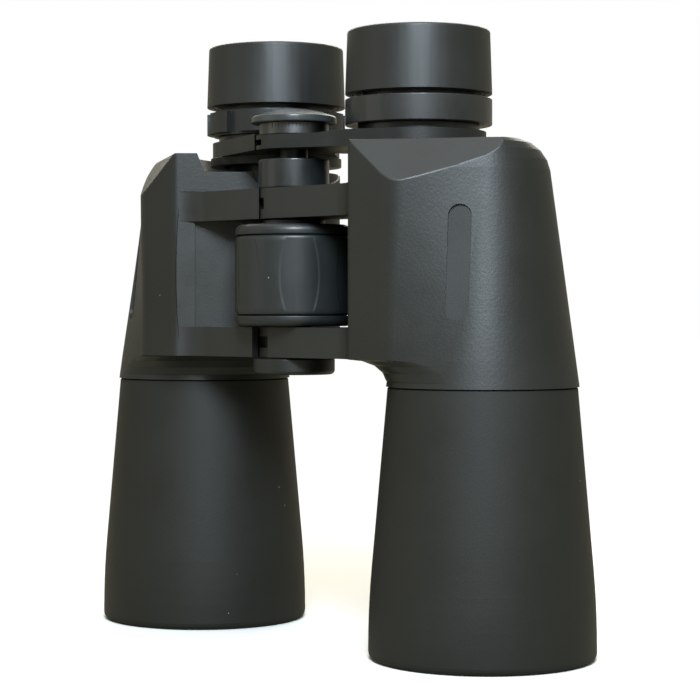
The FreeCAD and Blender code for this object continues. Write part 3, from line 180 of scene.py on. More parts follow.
class ScaleSettings(bpy.types.PropertyGroup):
    marks: IntProperty(name="Marks", description="Index marks for the eye spacing", default=11,
                       min=1, max=60)
    step: angle("Step", "Turn from one mark to the next", 6.0)
    middle: angle("Middle", "Direction of the middle mark", -52.0)
    width: length("Width", "Width of a mark", 0.00022)
    height: length("Height", "Height of a mark", 0.0011)


class StageSettings(bpy.types.PropertyGroup):
    floor: colour("Floor", "Pale plain floor", (0.88, 0.865, 0.84))
    bounce: colour("Floor bounce", "How the floor looks to the object", (0.29, 0.272, 0.205))
    surroundings: colour("Surroundings", "Dim room round the stage", (0.40, 0.385, 0.31))
    key: FloatProperty(name="Key light", description="Soft box in front and above", default=7.6,
                       min=0.0, unit="POWER")
    fill: FloatProperty(name="Fill light", description="Soft box at the left", default=0.5,
                        min=0.0, unit="POWER")
    top: FloatProperty(name="Top light", description="Large soft box overhead", default=7.0,
                       min=0.0, unit="POWER")
    back: FloatProperty(name="Back light", description="Warm soft box behind", default=6.0,
                        min=0.0, unit="POWER")


class BinocularSettings(bpy.types.PropertyGroup):
    rubber: PointerProperty(type=RubberSettings)
    metal: PointerProperty(type=MetalSettings)
    wheel: PointerProperty(type=WheelSettings)
    scale: PointerProperty(type=ScaleSettings)
    stage: PointerProperty(type=StageSettings)


def settings():
    return bpy.context.scene.binoculars


# ------------------------------------------------- material building
class Finish:
    """One material, with the few node calls that the finishes below share."""

    def __init__(self, name, **shader):
        self.material = bpy.data.materials.new(name)
        self.material.use_nodes = True
        self.tree = self.material.node_tree
        self.shader = self.tree.nodes["Principled BSDF"]
        self.place = self.node("ShaderNodeTexCoord").outputs["Object"]
        for socket, value in shader.items():
            label = socket.replace("_", " ").title().replace("Ior", "IOR")
            self.shader.inputs[label].default_value = value

    def node(self, kind, inputs=None, **options):
        made = self.tree.nodes.new(kind)
        for option, value in options.items():
            setattr(made, option, value)
        for socket, value in (inputs or {}).items():
            self.feed(made.inputs[socket], value)
        return made

    def feed(self, socket, value):
        if isinstance(value, bpy.types.NodeSocket):
            self.tree.links.new(value, socket)
        else:
            socket.default_value = value

    def moved(self, centre, scale=(1, 1, 1)):
        """Object coordinates about a centre, stretched by scale."""
        shift = [-c * s for c, s in zip(centre, scale)]
        return self.node("ShaderNodeMapping", {"Vector": self.place, "Location": shift,
                                               "Scale": scale}).outputs["Vector"]

    def noise(self, size, detail=3.0, roughness=0.5, place=None):
        """Cloudy value from 0 to 1, whose features are about size across."""
        return self.node("ShaderNodeTexNoise", {
            "Vector": place or self.place, "Scale": 1 / size, "Detail": detail,
            "Roughness": roughness}).outputs["Fac"]

    def cells(self, size, feature="F1"):
        """Voronoi cells about size across."""
        return self.node("ShaderNodeTexVoronoi", {"Vector": self.place, "Scale": 1 / size},
                         feature=feature)

    def rings(self, centre, spacing, distortion=0.0):
        """Turning marks round the upright line through centre."""
        return self.node("ShaderNodeTexWave", {
            "Vector": self.moved(centre), "Scale": WAVE_LENGTH / spacing,
            "Distortion": distortion, "Detail": 2.0},
            wave_type="RINGS", rings_direction="Z").outputs["Fac"]

    def maths(self, operation, first, second=0.0):
        made = self.node("ShaderNodeMath", {0: first, 1: second}, operation=operation)
        return made.outputs["Value"]

    def vector(self, operation, inputs, output="Vector"):
        return self.node("ShaderNodeVectorMath", inputs, operation=operation).outputs[output]

    def between(self, value, low, high, start=0.0, end=1.0):
        """Maps value from the stretch start..end on to low..high, held at both ends."""
        return self.node("ShaderNodeMapRange", {
            "Value": value, "From Min": start, "From Max": end, "To Min": low,
            "To Max": high}).outputs["Result"]

    def blend(self, factor, first, second):
        made = self.node("ShaderNodeMix", {"Factor": factor}, data_type="RGBA")
        self.feed(made.inputs[MIX_FIRST], first)
        self.feed(made.inputs[MIX_SECOND], second)
        return made.outputs[MIXED]

    def mottled(self, cloud, base, dark, light, start=0.3, end=0.7):
        """The base colour, darkened and lightened by the two factors as the cloud goes."""
        share = self.between(cloud, 0, 1, start, end)
        return self.blend(share, shade(base, dark), shade(base, light))

    def uneven(self, roughness, less, more, cloud, second):
        """Roughness that drifts from less below to more above with the sum of two clouds."""
        return self.between(self.maths("ADD", cloud, second), roughness - less, roughness + more,
                            0.7, 1.3)

    def bump(self, height, distance, under=None):
        inputs = {"Height": height, "Distance": distance, "Strength": 1.0}
        if under is not None:
            inputs["Normal"] = under
        return self.node("ShaderNodeBump", inputs).outputs["Normal"]

    def dust(self, size, share, reach):
        """1 inside a few tiny specks, 0 elsewhere."""
        found = self.cells(size)
        near = self.maths("LESS_THAN", found.outputs["Distance"], reach)
        picked = self.node("ShaderNodeSeparateColor", {"Color": found.outputs["Color"]})
        return self.maths("MULTIPLY", near, self.maths("LESS_THAN", picked.outputs["Red"], share))

    def near_line(self, first, last, reach):
        """1 within reach of a line and of its mirror image on the other half, 0 elsewhere."""
        start = Vector(first)
        along = Vector(last) - start
        here = self.node("ShaderNodeSeparateXYZ", {"Vector": self.place}).outputs
        mirrored = self.node("ShaderNodeCombineXYZ", {
            "X": self.maths("ABSOLUTE", here["X"]), "Y": here["Y"], "Z": here["Z"]})
        away = self.vector("SUBTRACT", {0: mirrored.outputs["Vector"], 1: start})
        share = self.vector("DOT_PRODUCT", {0: away, 1: along / along.length_squared}, "Value")
        step = self.vector("SCALE", {0: tuple(along), "Scale": self.between(share, 0, 1)})
        gap = self.vector("DISTANCE", {0: away, 1: step}, "Value")
        return self.between(gap, 1, 0, reach - SLOT_FADE, reach + SLOT_FADE)

    def paint(self, base=None, roughness=None, normal=None):
        """Feeds what is given into the shader and returns the material."""
        for socket, value in (("Base Color", base), ("Roughness", roughness), ("Normal", normal)):
            if value is not None:
                self.feed(self.shader.inputs[socket], value)
        return self.material


def shade(base, factor):
    """The colour made lighter or darker, with its alpha."""
    return tuple(min(1.0, c * factor) for c in base) + (1.0,)


def tinted(base, factor):
    """The same without its alpha, as the finishes take it."""
    return shade(base, factor)[:3]


def middle_of(node):
    low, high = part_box(node)
    return (low + high) / 2


def dress(material, *nodes):
    """Gives CAD nodes a material."""
    for name in nodes:
        data = frame["nodes"][name].data
        if not data.materials:
            data.materials.append(material)
        for index in range(len(data.materials)):
            data.materials[index] = material


def both(*names):
    """The nodes of these names on both halves."""
    return [half + "_" + name for half in HALVES for name in names]


# ------------------------------------------------- finishes
def leather_rubber(name, base, grain, depth, roughness, shine):
    """Rubber with a moulded pebble grain, mottling and dust specks, smooth in the thumb slot, whose
    floor is also darkened with painted shade.
    """
    finish = Finish(name, specular_ior_level=shine)
    pebbles = finish.cells(grain, "SMOOTH_F1").outputs["Distance"]
    fine = finish.noise(grain / 3, 4.0, 0.6)
    patches = finish.noise(0.022, 4.0, 0.55)
    tone = finish.mottled(patches, base, 0.88, 1.14)
    tone = finish.blend(finish.between(fine, 0, 0.35, 0.45, 0.75), tone, shade(base, 1.5))
    tone = finish.blend(finish.dust(0.0075, 0.35, 0.035), tone, DUST_ON_GRAIN)
    slot_painted_shade_and_smooth = finish.near_line(SLOT_LOW, SLOT_HIGH, SLOT_REACH)
    # Painted shade: the thumb slot's floor is darkened to 0.6 of the rubber's colour, as shade in
    # the recess.
    tone = finish.blend(slot_painted_shade_and_smooth, tone, shade(base, 0.6))
    rough = finish.uneven(roughness, 0.07, 0.07, patches, fine)
    rough = finish.maths("ADD", rough, finish.maths("MULTIPLY", slot_painted_shade_and_smooth, 0.10))
    normal = finish.bump(fine, depth * 0.5)
    grained = finish.maths("MULTIPLY", pebbles, finish.between(slot_painted_shade_and_smooth, 1, 0.1))
    return finish.paint(tone, rough, finish.bump(grained, depth, normal))


def smooth_rubber(name, base, roughness):
    """Satin rubber with a very fine bloom and faint moulding streaks up its sides."""
    finish = Finish(name, specular_ior_level=0.5)
    bloom = finish.noise(0.012, 4.0, 0.6)
    fine = finish.noise(0.00035, 2.0)
    streaks = finish.noise(0.0016, 3.0, 0.5, finish.moved((0, 0, 0), (1, 1, 0.05)))
    tone = finish.mottled(bloom, base, 0.9, 1.12)
    tone = finish.blend(finish.dust(0.006, 0.25, 0.035), tone, DUST_ON_SATIN)
    rough = finish.uneven(roughness, 0.04, 0.04, bloom, streaks)
    normal = finish.bump(streaks, 0.000003)
    return finish.paint(tone, rough, finish.bump(fine, 0.000005, normal))


def casting_paint(name, base, roughness, shine=0.5):
    """Satin black paint over a die casting: orange peel, flecks and slightly polished patches."""
    finish = Finish(name, specular_ior_level=shine)
    peel = finish.noise(0.0007, 2.0, 0.4)
    patches = finish.noise(0.016, 4.0, 0.6)
    flecks = finish.cells(0.0004).outputs["Distance"]
    tone = finish.mottled(patches, base, 0.9, 1.15)
    tone = finish.blend(finish.between(flecks, 0.5, 0, 0, 0.25), tone, shade(base, 2.2))
    rough = finish.between(patches, roughness - 0.07, roughness + 0.08, 0.3, 0.7)
    normal = finish.bump(flecks, 0.000008)
    return finish.paint(tone, rough, finish.bump(peel, 0.00002, normal))


def gloss_black(name, base, centre, roughness, coat=0.35):
    """Polished black over turned metal: faint turning lines, handling smears and fine dust."""
    finish = Finish(name, specular_ior_level=0.5, coat_weight=coat, coat_roughness=0.08)
    turned = finish.rings(centre, 0.00022, 0.3)
    smears = finish.noise(0.009, 5.0, 0.65)
    scratches = finish.noise(0.0005, 2.0, 0.5, finish.moved(centre, (1, 1, 0.12)))
    tone = finish.mottled(smears, base, 0.85, 1.3, 0.35)
    tone = finish.blend(finish.dust(0.004, 0.3, 0.03), tone, DUST_ON_GLOSS)
    rough = finish.uneven(roughness, 0.05, 0.09, smears, scratches)
    return finish.paint(tone, rough, finish.bump(turned, 0.000003))


def moulded_plastic(name, base, roughness):
    """Fine spark-eroded texture of a black injection moulding."""
    finish = Finish(name, specular_ior_level=0.5)
    grit = finish.noise(0.00028, 3.0, 0.6)
    patches = finish.noise(0.02, 3.0)
    tone = finish.mottled(patches, base, 0.9, 1.1)
    tone = finish.blend(finish.dust(0.005, 0.3, 0.03), tone, DUST_ON_SATIN)
    rough = finish.between(grit, roughness - 0.06, roughness + 0.08, 0.3, 0.7)
    return finish.paint(tone, rough, finish.bump(grit, 0.000012))


def turned_metal(name, base, centre, spacing, roughness, metallic=1.0):
    """Lathe-turned metal with tool marks round its axis and slight tarnish."""
    finish = Finish(name, metallic=metallic)
    marks = finish.rings(centre, spacing, 0.4)
    tarnish = finish.noise(0.006, 4.0, 0.6)
    tone = finish.mottled(tarnish, base, 1.05, 0.72, 0.3, 0.75)
    tone = finish.blend(finish.between(marks, 0, 0.25), tone, shade(base, 0.8))
    rough = finish.between(tarnish, roughness - 0.05, roughness + 0.12, 0.3, 0.7)
    return finish.paint(tone, rough, finish.bump(marks, 0.000006))


def rolled_metal(name, base, grain, roughness):
    """Sheet or bar metal with rolling marks, long where grain is small, and a few dull spots."""
    finish = Finish(name, metallic=1.0)
    lines = finish.noise(0.0004, 3.0, 0.5, finish.moved((0, 0, 0), grain))
    spots = finish.noise(0.004, 4.0, 0.6)
    tone = finish.mottled(spots, base, 1.05, 0.7, 0.35, 0.75)
    rough = finish.uneven(roughness, 0.08, 0.1, lines, spots)
    return finish.paint(tone, rough, finish.bump(lines, 0.000005))


def inner_black(name, base):
    """Flat black inside the light path, with fine stray-light ridges."""
    finish = Finish(name, specular_ior_level=0.3)
    ridges = finish.node("ShaderNodeTexWave", {
        "Vector": finish.place, "Scale": RIDGE_SCALE, "Detail": 1.0},
        wave_type="BANDS", bands_direction="Z").outputs["Fac"]
    cloud = finish.noise(0.003, 4.0, 0.6)
    tone = finish.blend(cloud, shade(base, 0.75), shade(base, 1.3))
    rough = finish.between(cloud, 0.62, 0.85, 0.3, 0.7)
    return finish.paint(tone, rough, finish.bump(ridges, 0.00006))


def polished_glass(name, tint, sheen):
    """Clear glass with a faint coating colour that drifts across the face."""
    finish = Finish(name, ior=1.52, transmission_weight=1.0, specular_tint=shade(sheen, 1.0))
    drift = finish.noise(0.03, 2.0)
    smears = finish.noise(0.008, 5.0, 0.7)
    tone = finish.mottled(drift, tint, 0.94, 1.0)
    return finish.paint(tone, finish.between(smears, 0.0, 0.035, 0.45, 0.8))


# ------------------------------------------------- shapes
def plain_mesh(piece):
    """Turns a piece's modifiers into its own mesh."""
    ready = piece.evaluated_get(bpy.context.evaluated_depsgraph_get())
    made = bpy.data.meshes.new_from_object(ready)
    if not made.polygons:
        raise RuntimeError(piece.name + " came out empty")
    piece.modifiers.clear()
    piece.data = made
    made.name = piece.name


def eased(material, width, *nodes):
    """Stands in for each CAD node with a copy whose sharp edges are rounded to width."""
    dress(material, *nodes)
    for node in nodes:
        form = bmesh.new()
        form.from_mesh(frame["nodes"][node].data)
        bmesh.ops.remove_doubles(form, verts=form.verts, dist=WELD)
        bmesh.ops.dissolve_limit(form, angle_limit=FLAT, verts=form.verts, edges=form.edges)
        for face in form.faces:
            face.smooth = True
        copy = bpy.data.meshes.new(node + "_eased")
        form.to_mesh(copy)
        form.free()
        piece = bpy.data.objects.new(node + "_eased", copy)
        bpy.context.scene.collection.objects.link(piece)
        rounding = piece.modifiers.new("Rounded edges", "BEVEL")
        rounding.width = width
        rounding.segments = ROUNDING_STEPS
        rounding.limit_method = "ANGLE"
        rounding.angle_limit = SHARP
        flattening = piece.modifiers.new("Flat faces", "WEIGHTED_NORMAL")
        flattening.weight = FLAT_FACE_WEIGHT
        plain_mesh(piece)
        piece.data.materials.clear()
        piece.data.materials.append(material)
        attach(piece, frame["nodes"][node]["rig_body"])
        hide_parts(node)


class Shape:
    """A Geometry Nodes tree on an empty mesh, with named inputs."""

    def __init__(self, name):
        self.tree = bpy.data.node_groups.new(name, "GeometryNodeTree")
        self.tree.interface.new_socket("Geometry", in_out="OUTPUT",
                                       socket_type="NodeSocketGeometry")
        self.values = {}
        self.entry = self.tree.nodes.new("NodeGroupInput")
        self.exit = self.tree.nodes.new("NodeGroupOutput")

    def input(self, name, value, kind="NodeSocketFloat"):
        socket = self.tree.interface.new_socket(name, in_out="INPUT", socket_type=kind)
        self.values[socket.identifier] = value
        return self.entry.outputs[name]

    def node(self, kind, inputs=None, **options):
        made = self.tree.nodes.new(kind)
        for option, value in options.items():
            setattr(made, option, value)
        for socket, value in (inputs or {}).items():
            if isinstance(value, bpy.types.NodeSocket):
                self.tree.links.new(value, made.inputs[socket])
            else:
                made.inputs[socket].default_value = value
        return made

    def maths(self, operation, first, second=0.0, third=0.0):
        made = self.node("ShaderNodeMath", {0: first, 1: second, 2: third}, operation=operation)
        return made.outputs["Value"]

    def step(self, value, start, end, low=0.0, high=1.0):
        """Smooth step from low at start to high at end."""
        return self.node("ShaderNodeMapRange", {
            "Value": value, "From Min": start, "From Max": end, "To Min": low, "To Max": high},
            interpolation_type="SMOOTHSTEP").outputs["Result"]

    def finish(self, geometry, material):
        """Ends the tree in real geometry with one material."""
        real = self.node("GeometryNodeRealizeInstances", {"Geometry": geometry})
        coat = self.node("GeometryNodeSetMaterial", {"Geometry": real.outputs["Geometry"],
                                                     "Material": material})
        self.tree.links.new(coat.outputs["Geometry"], self.exit.inputs["Geometry"])

    def mesh(self, name):
        """A plain mesh object made from the evaluated tree."""
        holder = bpy.data.objects.new(name, bpy.data.meshes.new(name + "_seed"))
        bpy.context.scene.collection.objects.link(holder)
        modifier = holder.modifiers.new("Shape", "NODES")
        modifier.node_group = self.tree
        for identifier, value in self.values.items():
            modifier[identifier] = value
        plain_mesh(holder)
        return holder


def closed_sleeve(piece, inner, middle):
    """Gives an open round skin its ends and an inner wall of radius inner about middle."""
    form = bmesh.new()
    form.from_mesh(piece.data)
    bmesh.ops.remove_doubles(form, verts=form.verts, dist=GRIP_WELD)
    rims = [edge for edge in form.edges if edge.is_boundary]
    grown = bmesh.ops.extrude_edge_only(form, edges=rims)["geom"]
    moved = [item for item in grown if isinstance(item, bmesh.types.BMVert)]
    for vertex in moved:
        flat = Vector((vertex.co.x - middle.x, vertex.co.y - middle.y))
        flat.length = inner
        vertex.co.x = middle.x + flat.x
        vertex.co.y = middle.y + flat.y
    ends = [edge for edge in form.edges if edge.is_boundary]
    bmesh.ops.bridge_loops(form, edges=ends)
    bmesh.ops.recalc_face_normals(form, faces=form.faces)
    form.to_mesh(piece.data)
    form.free()
    for polygon in piece.data.polygons:
        polygon.use_smooth = True
    piece.data.set_sharp_from_angle(angle=GRIP_SHARP)


# ------------------------------------------------- operators, one for each group of pieces
class PieceOperator:
    """What the operators below share."""

    bl_options = {"REGISTER", "UNDO"}


class BINOCULARS_OT_armour(PieceOperator, bpy.types.Operator):
    """Finish the rubber armour on the housings and the tubes"""

    bl_idname = "binoculars.armour"
    bl_label = "Rubber Armour"

    def execute(self, context):
        rubber = settings().rubber
        housing = leather_rubber("housing_rubber", rubber.housing, rubber.grain,
                                 rubber.grain_depth, 0.46, 0.45)
        tubes = leather_rubber("tube_rubber", rubber.tubes, rubber.grain * 0.8,
                               rubber.grain_depth * 0.8, 0.56, 0.34)
        dress(housing, *both("housing_armour"))
        dress(tubes, *both("objective_armour"))
        return {"FINISHED"}


class BINOCULARS_OT_castings(PieceOperator, bpy.types.Operator):
    """Finish the painted castings: housings, covers and bridge arms"""

    bl_idname = "binoculars.castings"
    bl_label = "Painted Castings"

    def execute(self, context):
        metal = settings().metal
        frames = casting_paint("casting_paint", metal.paint, 0.44)
        arms = casting_paint("bridge_paint", tinted(metal.paint, 0.8), 0.42, 0.38)
        eased(frames, 0.0004, *both("prism_housing"))
        dress(frames, *both("top_cover"))
        eased(arms, 0.0004, *both("bridge_arm"))
        return {"FINISHED"}


class BINOCULARS_OT_wheel(PieceOperator, bpy.types.Operator):
    """Make the moulded grip of the focus wheel and finish its core"""

    bl_idname = "binoculars.wheel"
    bl_label = "Focus Wheel"

    def execute(self, context):
        wheel = settings().wheel
        low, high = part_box("focus_wheel_grip")
        centre = middle_of("focus_wheel_grip")
        radius = (high.x - low.x) / 2
        rubber = smooth_rubber("grip_rubber", settings().rubber.grip, 0.40)
        shape = Shape("Wheel grip")
        outer = shape.input("Radius", radius)
        tall = shape.input("Height", high.z - low.z)
        count = shape.input("Panels", float(wheel.panels))
        first = shape.input("First panel", wheel.first)
        wide = shape.input("Half width", wheel.half_width)
        waist = shape.input("Waist", wheel.waist)
        relief = shape.input("Relief", wheel.relief)
        edge = shape.input("Edge", wheel.edge)
        groove = shape.input("End groove", wheel.groove)
        grid = shape.node("GeometryNodeMeshGrid", {
            "Size X": 1.0, "Size Y": 1.0,
            "Vertices X": GRIP_POINTS[0], "Vertices Y": GRIP_POINTS[1]})
        place = shape.node("ShaderNodeSeparateXYZ", {
            "Vector": shape.node("GeometryNodeInputPosition").outputs["Position"]})
        turn = shape.maths("MULTIPLY", place.outputs["X"], 2 * math.pi)
        rise = shape.maths("MULTIPLY", place.outputs["Y"], 2.0)
        pitch = shape.maths("DIVIDE", 2 * math.pi, count)
        away = shape.maths("PINGPONG", shape.maths("SUBTRACT", turn, first),
                           shape.maths("DIVIDE", pitch, 2.0))
        bow = shape.maths("MULTIPLY", rise, rise)
        half = shape.maths("MULTIPLY_ADD", bow, shape.maths("SUBTRACT", wide, waist), waist)
        inside = shape.maths("SUBTRACT", half, away)
        raised = shape.maths("MULTIPLY", shape.step(inside, 0.0, edge), relief)
        from_middle = shape.maths("ABSOLUTE", rise)
        ends = shape.step(from_middle, *GRIP_END_TURN)
        plateau = shape.step(from_middle, *GRIP_PANEL_FADE, 1.0, 0.0)
        lifted = shape.maths("MULTIPLY", raised, plateau)
        base = shape.maths("SUBTRACT", outer, relief)
        reach = shape.maths("SUBTRACT", shape.maths("ADD", base, lifted),
                            shape.maths("MULTIPLY", ends, groove))
        point = shape.node("ShaderNodeCombineXYZ", {
            "X": shape.maths("MULTIPLY_ADD", reach, shape.maths("COSINE", turn), centre.x),
            "Y": shape.maths("MULTIPLY_ADD", reach, shape.maths("SINE", turn), centre.y),
            "Z": shape.maths("MULTIPLY_ADD", place.outputs["Y"], tall, centre.z)})
        wrapped = shape.node("GeometryNodeSetPosition", {
            "Geometry": grid.outputs["Mesh"], "Position": point.outputs["Vector"]})
        shape.finish(wrapped.outputs["Geometry"], rubber)
        grip = shape.mesh("focus_wheel_moulded_grip")
        closed_sleeve(grip, radius - GRIP_WALL, centre)
        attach(grip, "focus_wheel")
        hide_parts("focus_wheel_grip")
        core = gloss_black("wheel_gloss", settings().metal.gloss, centre, 0.44, 0.08)
        eased(core, 0.0003, "focus_wheel_core")
        dress(rubber, "focus_wheel_grip")
        return {"FINISHED"}


class BINOCULARS_OT_bridge(PieceOperator, bpy.types.Operator):
    """Finish the bridge cap and the eye-spacing scale, and cut its index marks"""

    bl_idname = "binoculars.bridge"
    bl_label = "Bridge Scale"

    def execute(self, context):
        scale = settings().scale
        metal = settings().metal
        low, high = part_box("interpupillary_scale")
        centre = middle_of("interpupillary_scale")
        reach = (high.x - low.x) / 2 - MARK_SINK
        ink = moulded_plastic("mark_ink", MARK_INK, 0.5)
        shape = Shape("Scale marks")
        count = shape.input("Marks", scale.marks, "NodeSocketInt")
        step = shape.input("Step", scale.step)
        middle = shape.input("Middle", scale.middle)
        wide = shape.input("Width", scale.width)
        tall = shape.input("Height", scale.height)
        mark = shape.node("GeometryNodeMeshCube", {"Size": shape.node("ShaderNodeCombineXYZ", {
            "X": MARK_DEPTH, "Y": wide, "Z": tall}).outputs["Vector"]})
        index = shape.node("GeometryNodeInputIndex").outputs["Index"]
        before = shape.maths("DIVIDE", shape.maths("SUBTRACT", count, 1.0), 2.0)
        offset = shape.maths("SUBTRACT", index, before)
        turn = shape.maths("MULTIPLY_ADD", offset, step, middle)
        spot = shape.node("ShaderNodeCombineXYZ", {
            "X": shape.maths("MULTIPLY_ADD", shape.maths("COSINE", turn), reach, centre.x),
            "Y": shape.maths("MULTIPLY_ADD", shape.maths("SINE", turn), reach, centre.y),
            "Z": high.z - MARK_DROP})
        row = shape.node("GeometryNodePoints", {"Count": count, "Position": spot.outputs["Vector"]})
        long_mark = shape.maths("LESS_THAN", shape.maths("MODULO", index, LONG_MARK_EVERY), 0.5)
        stretch = shape.node("ShaderNodeCombineXYZ", {
            "X": 1.0, "Y": 1.0,
            "Z": shape.maths("MULTIPLY_ADD", long_mark, LONG_MARK_EXTRA, 1.0)})
        marks = shape.node("GeometryNodeInstanceOnPoints", {
            "Points": row.outputs["Points"], "Instance": mark.outputs["Mesh"],
            "Rotation": shape.node("ShaderNodeCombineXYZ", {"Z": turn}).outputs["Vector"],
            "Scale": stretch.outputs["Vector"]})
        shape.finish(marks.outputs["Instances"], ink)
        ticks = shape.mesh("eye_spacing_marks")
        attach(ticks, "bridge")
        silver = turned_metal("scale_metal", tinted(metal.aluminium, 0.20), centre, 0.0003, 0.30)
        eased(silver, 0.0002, "interpupillary_scale")
        # Painted sheen: the bridge cap's black is lightened 3.2 times to stand in for the overhead
        # light its dome reflects.
        cap = gloss_black("cap_gloss", tinted(metal.gloss, 3.2), centre, 0.36)
        eased(cap, 0.0004, "bridge_cap")
        return {"FINISHED"}


class BINOCULARS_OT_hinge(PieceOperator, bpy.types.Operator):
    """Finish the hinge post, the tripod fittings and the focus screw"""

    bl_idname = "binoculars.hinge"
    bl_label = "Hinge and Tripod Fittings"

    def execute(self, context):
        metal = settings().metal
        centre = middle_of("hinge_post")
        eased(gloss_black("post_gloss", metal.gloss, centre, 0.36), 0.0005, "hinge_post")
        cap = moulded_plastic("tripod_cap_plastic", tinted(metal.moulding, 0.8), 0.42)
        eased(cap, 0.0004, "tripod_cap")
        blackened = turned_metal("blackened_brass", tinted(metal.brass, 0.06), centre, 0.00025,
                                 0.34)
        dress(blackened, "focus_nut", "tripod_bush")
        dark = turned_metal("blackened_steel", BLACKENED_STEEL, centre, 0.0004, 0.35)
        dress(dark, "focus_spindle")
        return {"FINISHED"}


class BINOCULARS_OT_eyepieces(PieceOperator, bpy.types.Operator):
    """Finish the eyepiece barrels, their rings and the rubber eyecups"""

    bl_idname = "binoculars.eyepieces"
    bl_label = "Eyepieces"

    def execute(self, context):
        metal = settings().metal
        cups = smooth_rubber("eyecup_rubber", settings().rubber.eyecups, 0.45)
        eased(cups, 0.0003, *both("eyecup"))
        ring = gloss_black("ring_gloss", metal.moulding, middle_of("left_eyepiece_ring"), 0.43)
        eased(ring, 0.0003, "left_eyepiece_ring")
        pads = moulded_plastic("dioptre_plastic", metal.moulding, 0.40)
        eased(pads, 0.0004, "dioptre_ring")
        dress(pads, *both("click_ring", "eyecup_sleeve"))
        for half in HALVES:
            centre = middle_of(half + "_eyepiece_barrel")
            anodised = turned_metal(half + "_eyepiece_anodised", EYEPIECE_ANODISING, centre,
                                    0.0003, 0.30, 0.8)
            dress(anodised, half + "_eyepiece_barrel", half + "_ocular_cell")
        return {"FINISHED"}


class BINOCULARS_OT_optics(PieceOperator, bpy.types.Operator):
    """Finish the glass and what holds it"""

    bl_idname = "binoculars.optics"
    bl_label = "Optics"

    def execute(self, context):
        metal = settings().metal
        dress(polished_glass("prism_glass", PRISM_TINT, UNCOATED), *both("prisms"))
        coated = polished_glass("coated_glass", LENS_TINT, LENS_COATING)
        dress(coated, *both("objective_lens", "ocular_lenses"))
        dark = inner_black("inner_black", BAFFLE_BLACK)
        dress(dark, *both("objective_tube", "field_stop", "lens_spacer"))
        for half in HALVES:
            centre = middle_of(half + "_objective_cell")
            anodised = turned_metal(half + "_cell_anodised", CELL_ANODISING, centre,
                                    0.0004, 0.33, 0.8)
            dress(anodised, half + "_objective_cell", half + "_objective_lock_ring")
        plate = rolled_metal("prism_plate_metal", metal.aluminium, (1, 0.05, 1), 0.34)
        dress(plate, *both("prism_plate"))
        strip = rolled_metal("spring_strip", SPRING_STEEL, (0.05, 1, 1), 0.30)
        dress(strip, *both("prism_clips"))
        return {"FINISHED"}


class BINOCULARS_OT_fittings(PieceOperator, bpy.types.Operator):
    """Finish the screws, the dioptre pin and the strap lugs"""

    bl_idname = "binoculars.fittings"
    bl_label = "Screws and Strap Lugs"

    def execute(self, context):
        metal = settings().metal
        zinc = rolled_metal("zinc_steel", metal.steel, (1, 1, 0.2), 0.28)
        dress(zinc, "dioptre_pin", *both("cover_screws", "plate_screws"))
        dress(casting_paint("lug_anodised", LUG_ANODISING, 0.36), *both("strap_lug"))
        return {"FINISHED"}


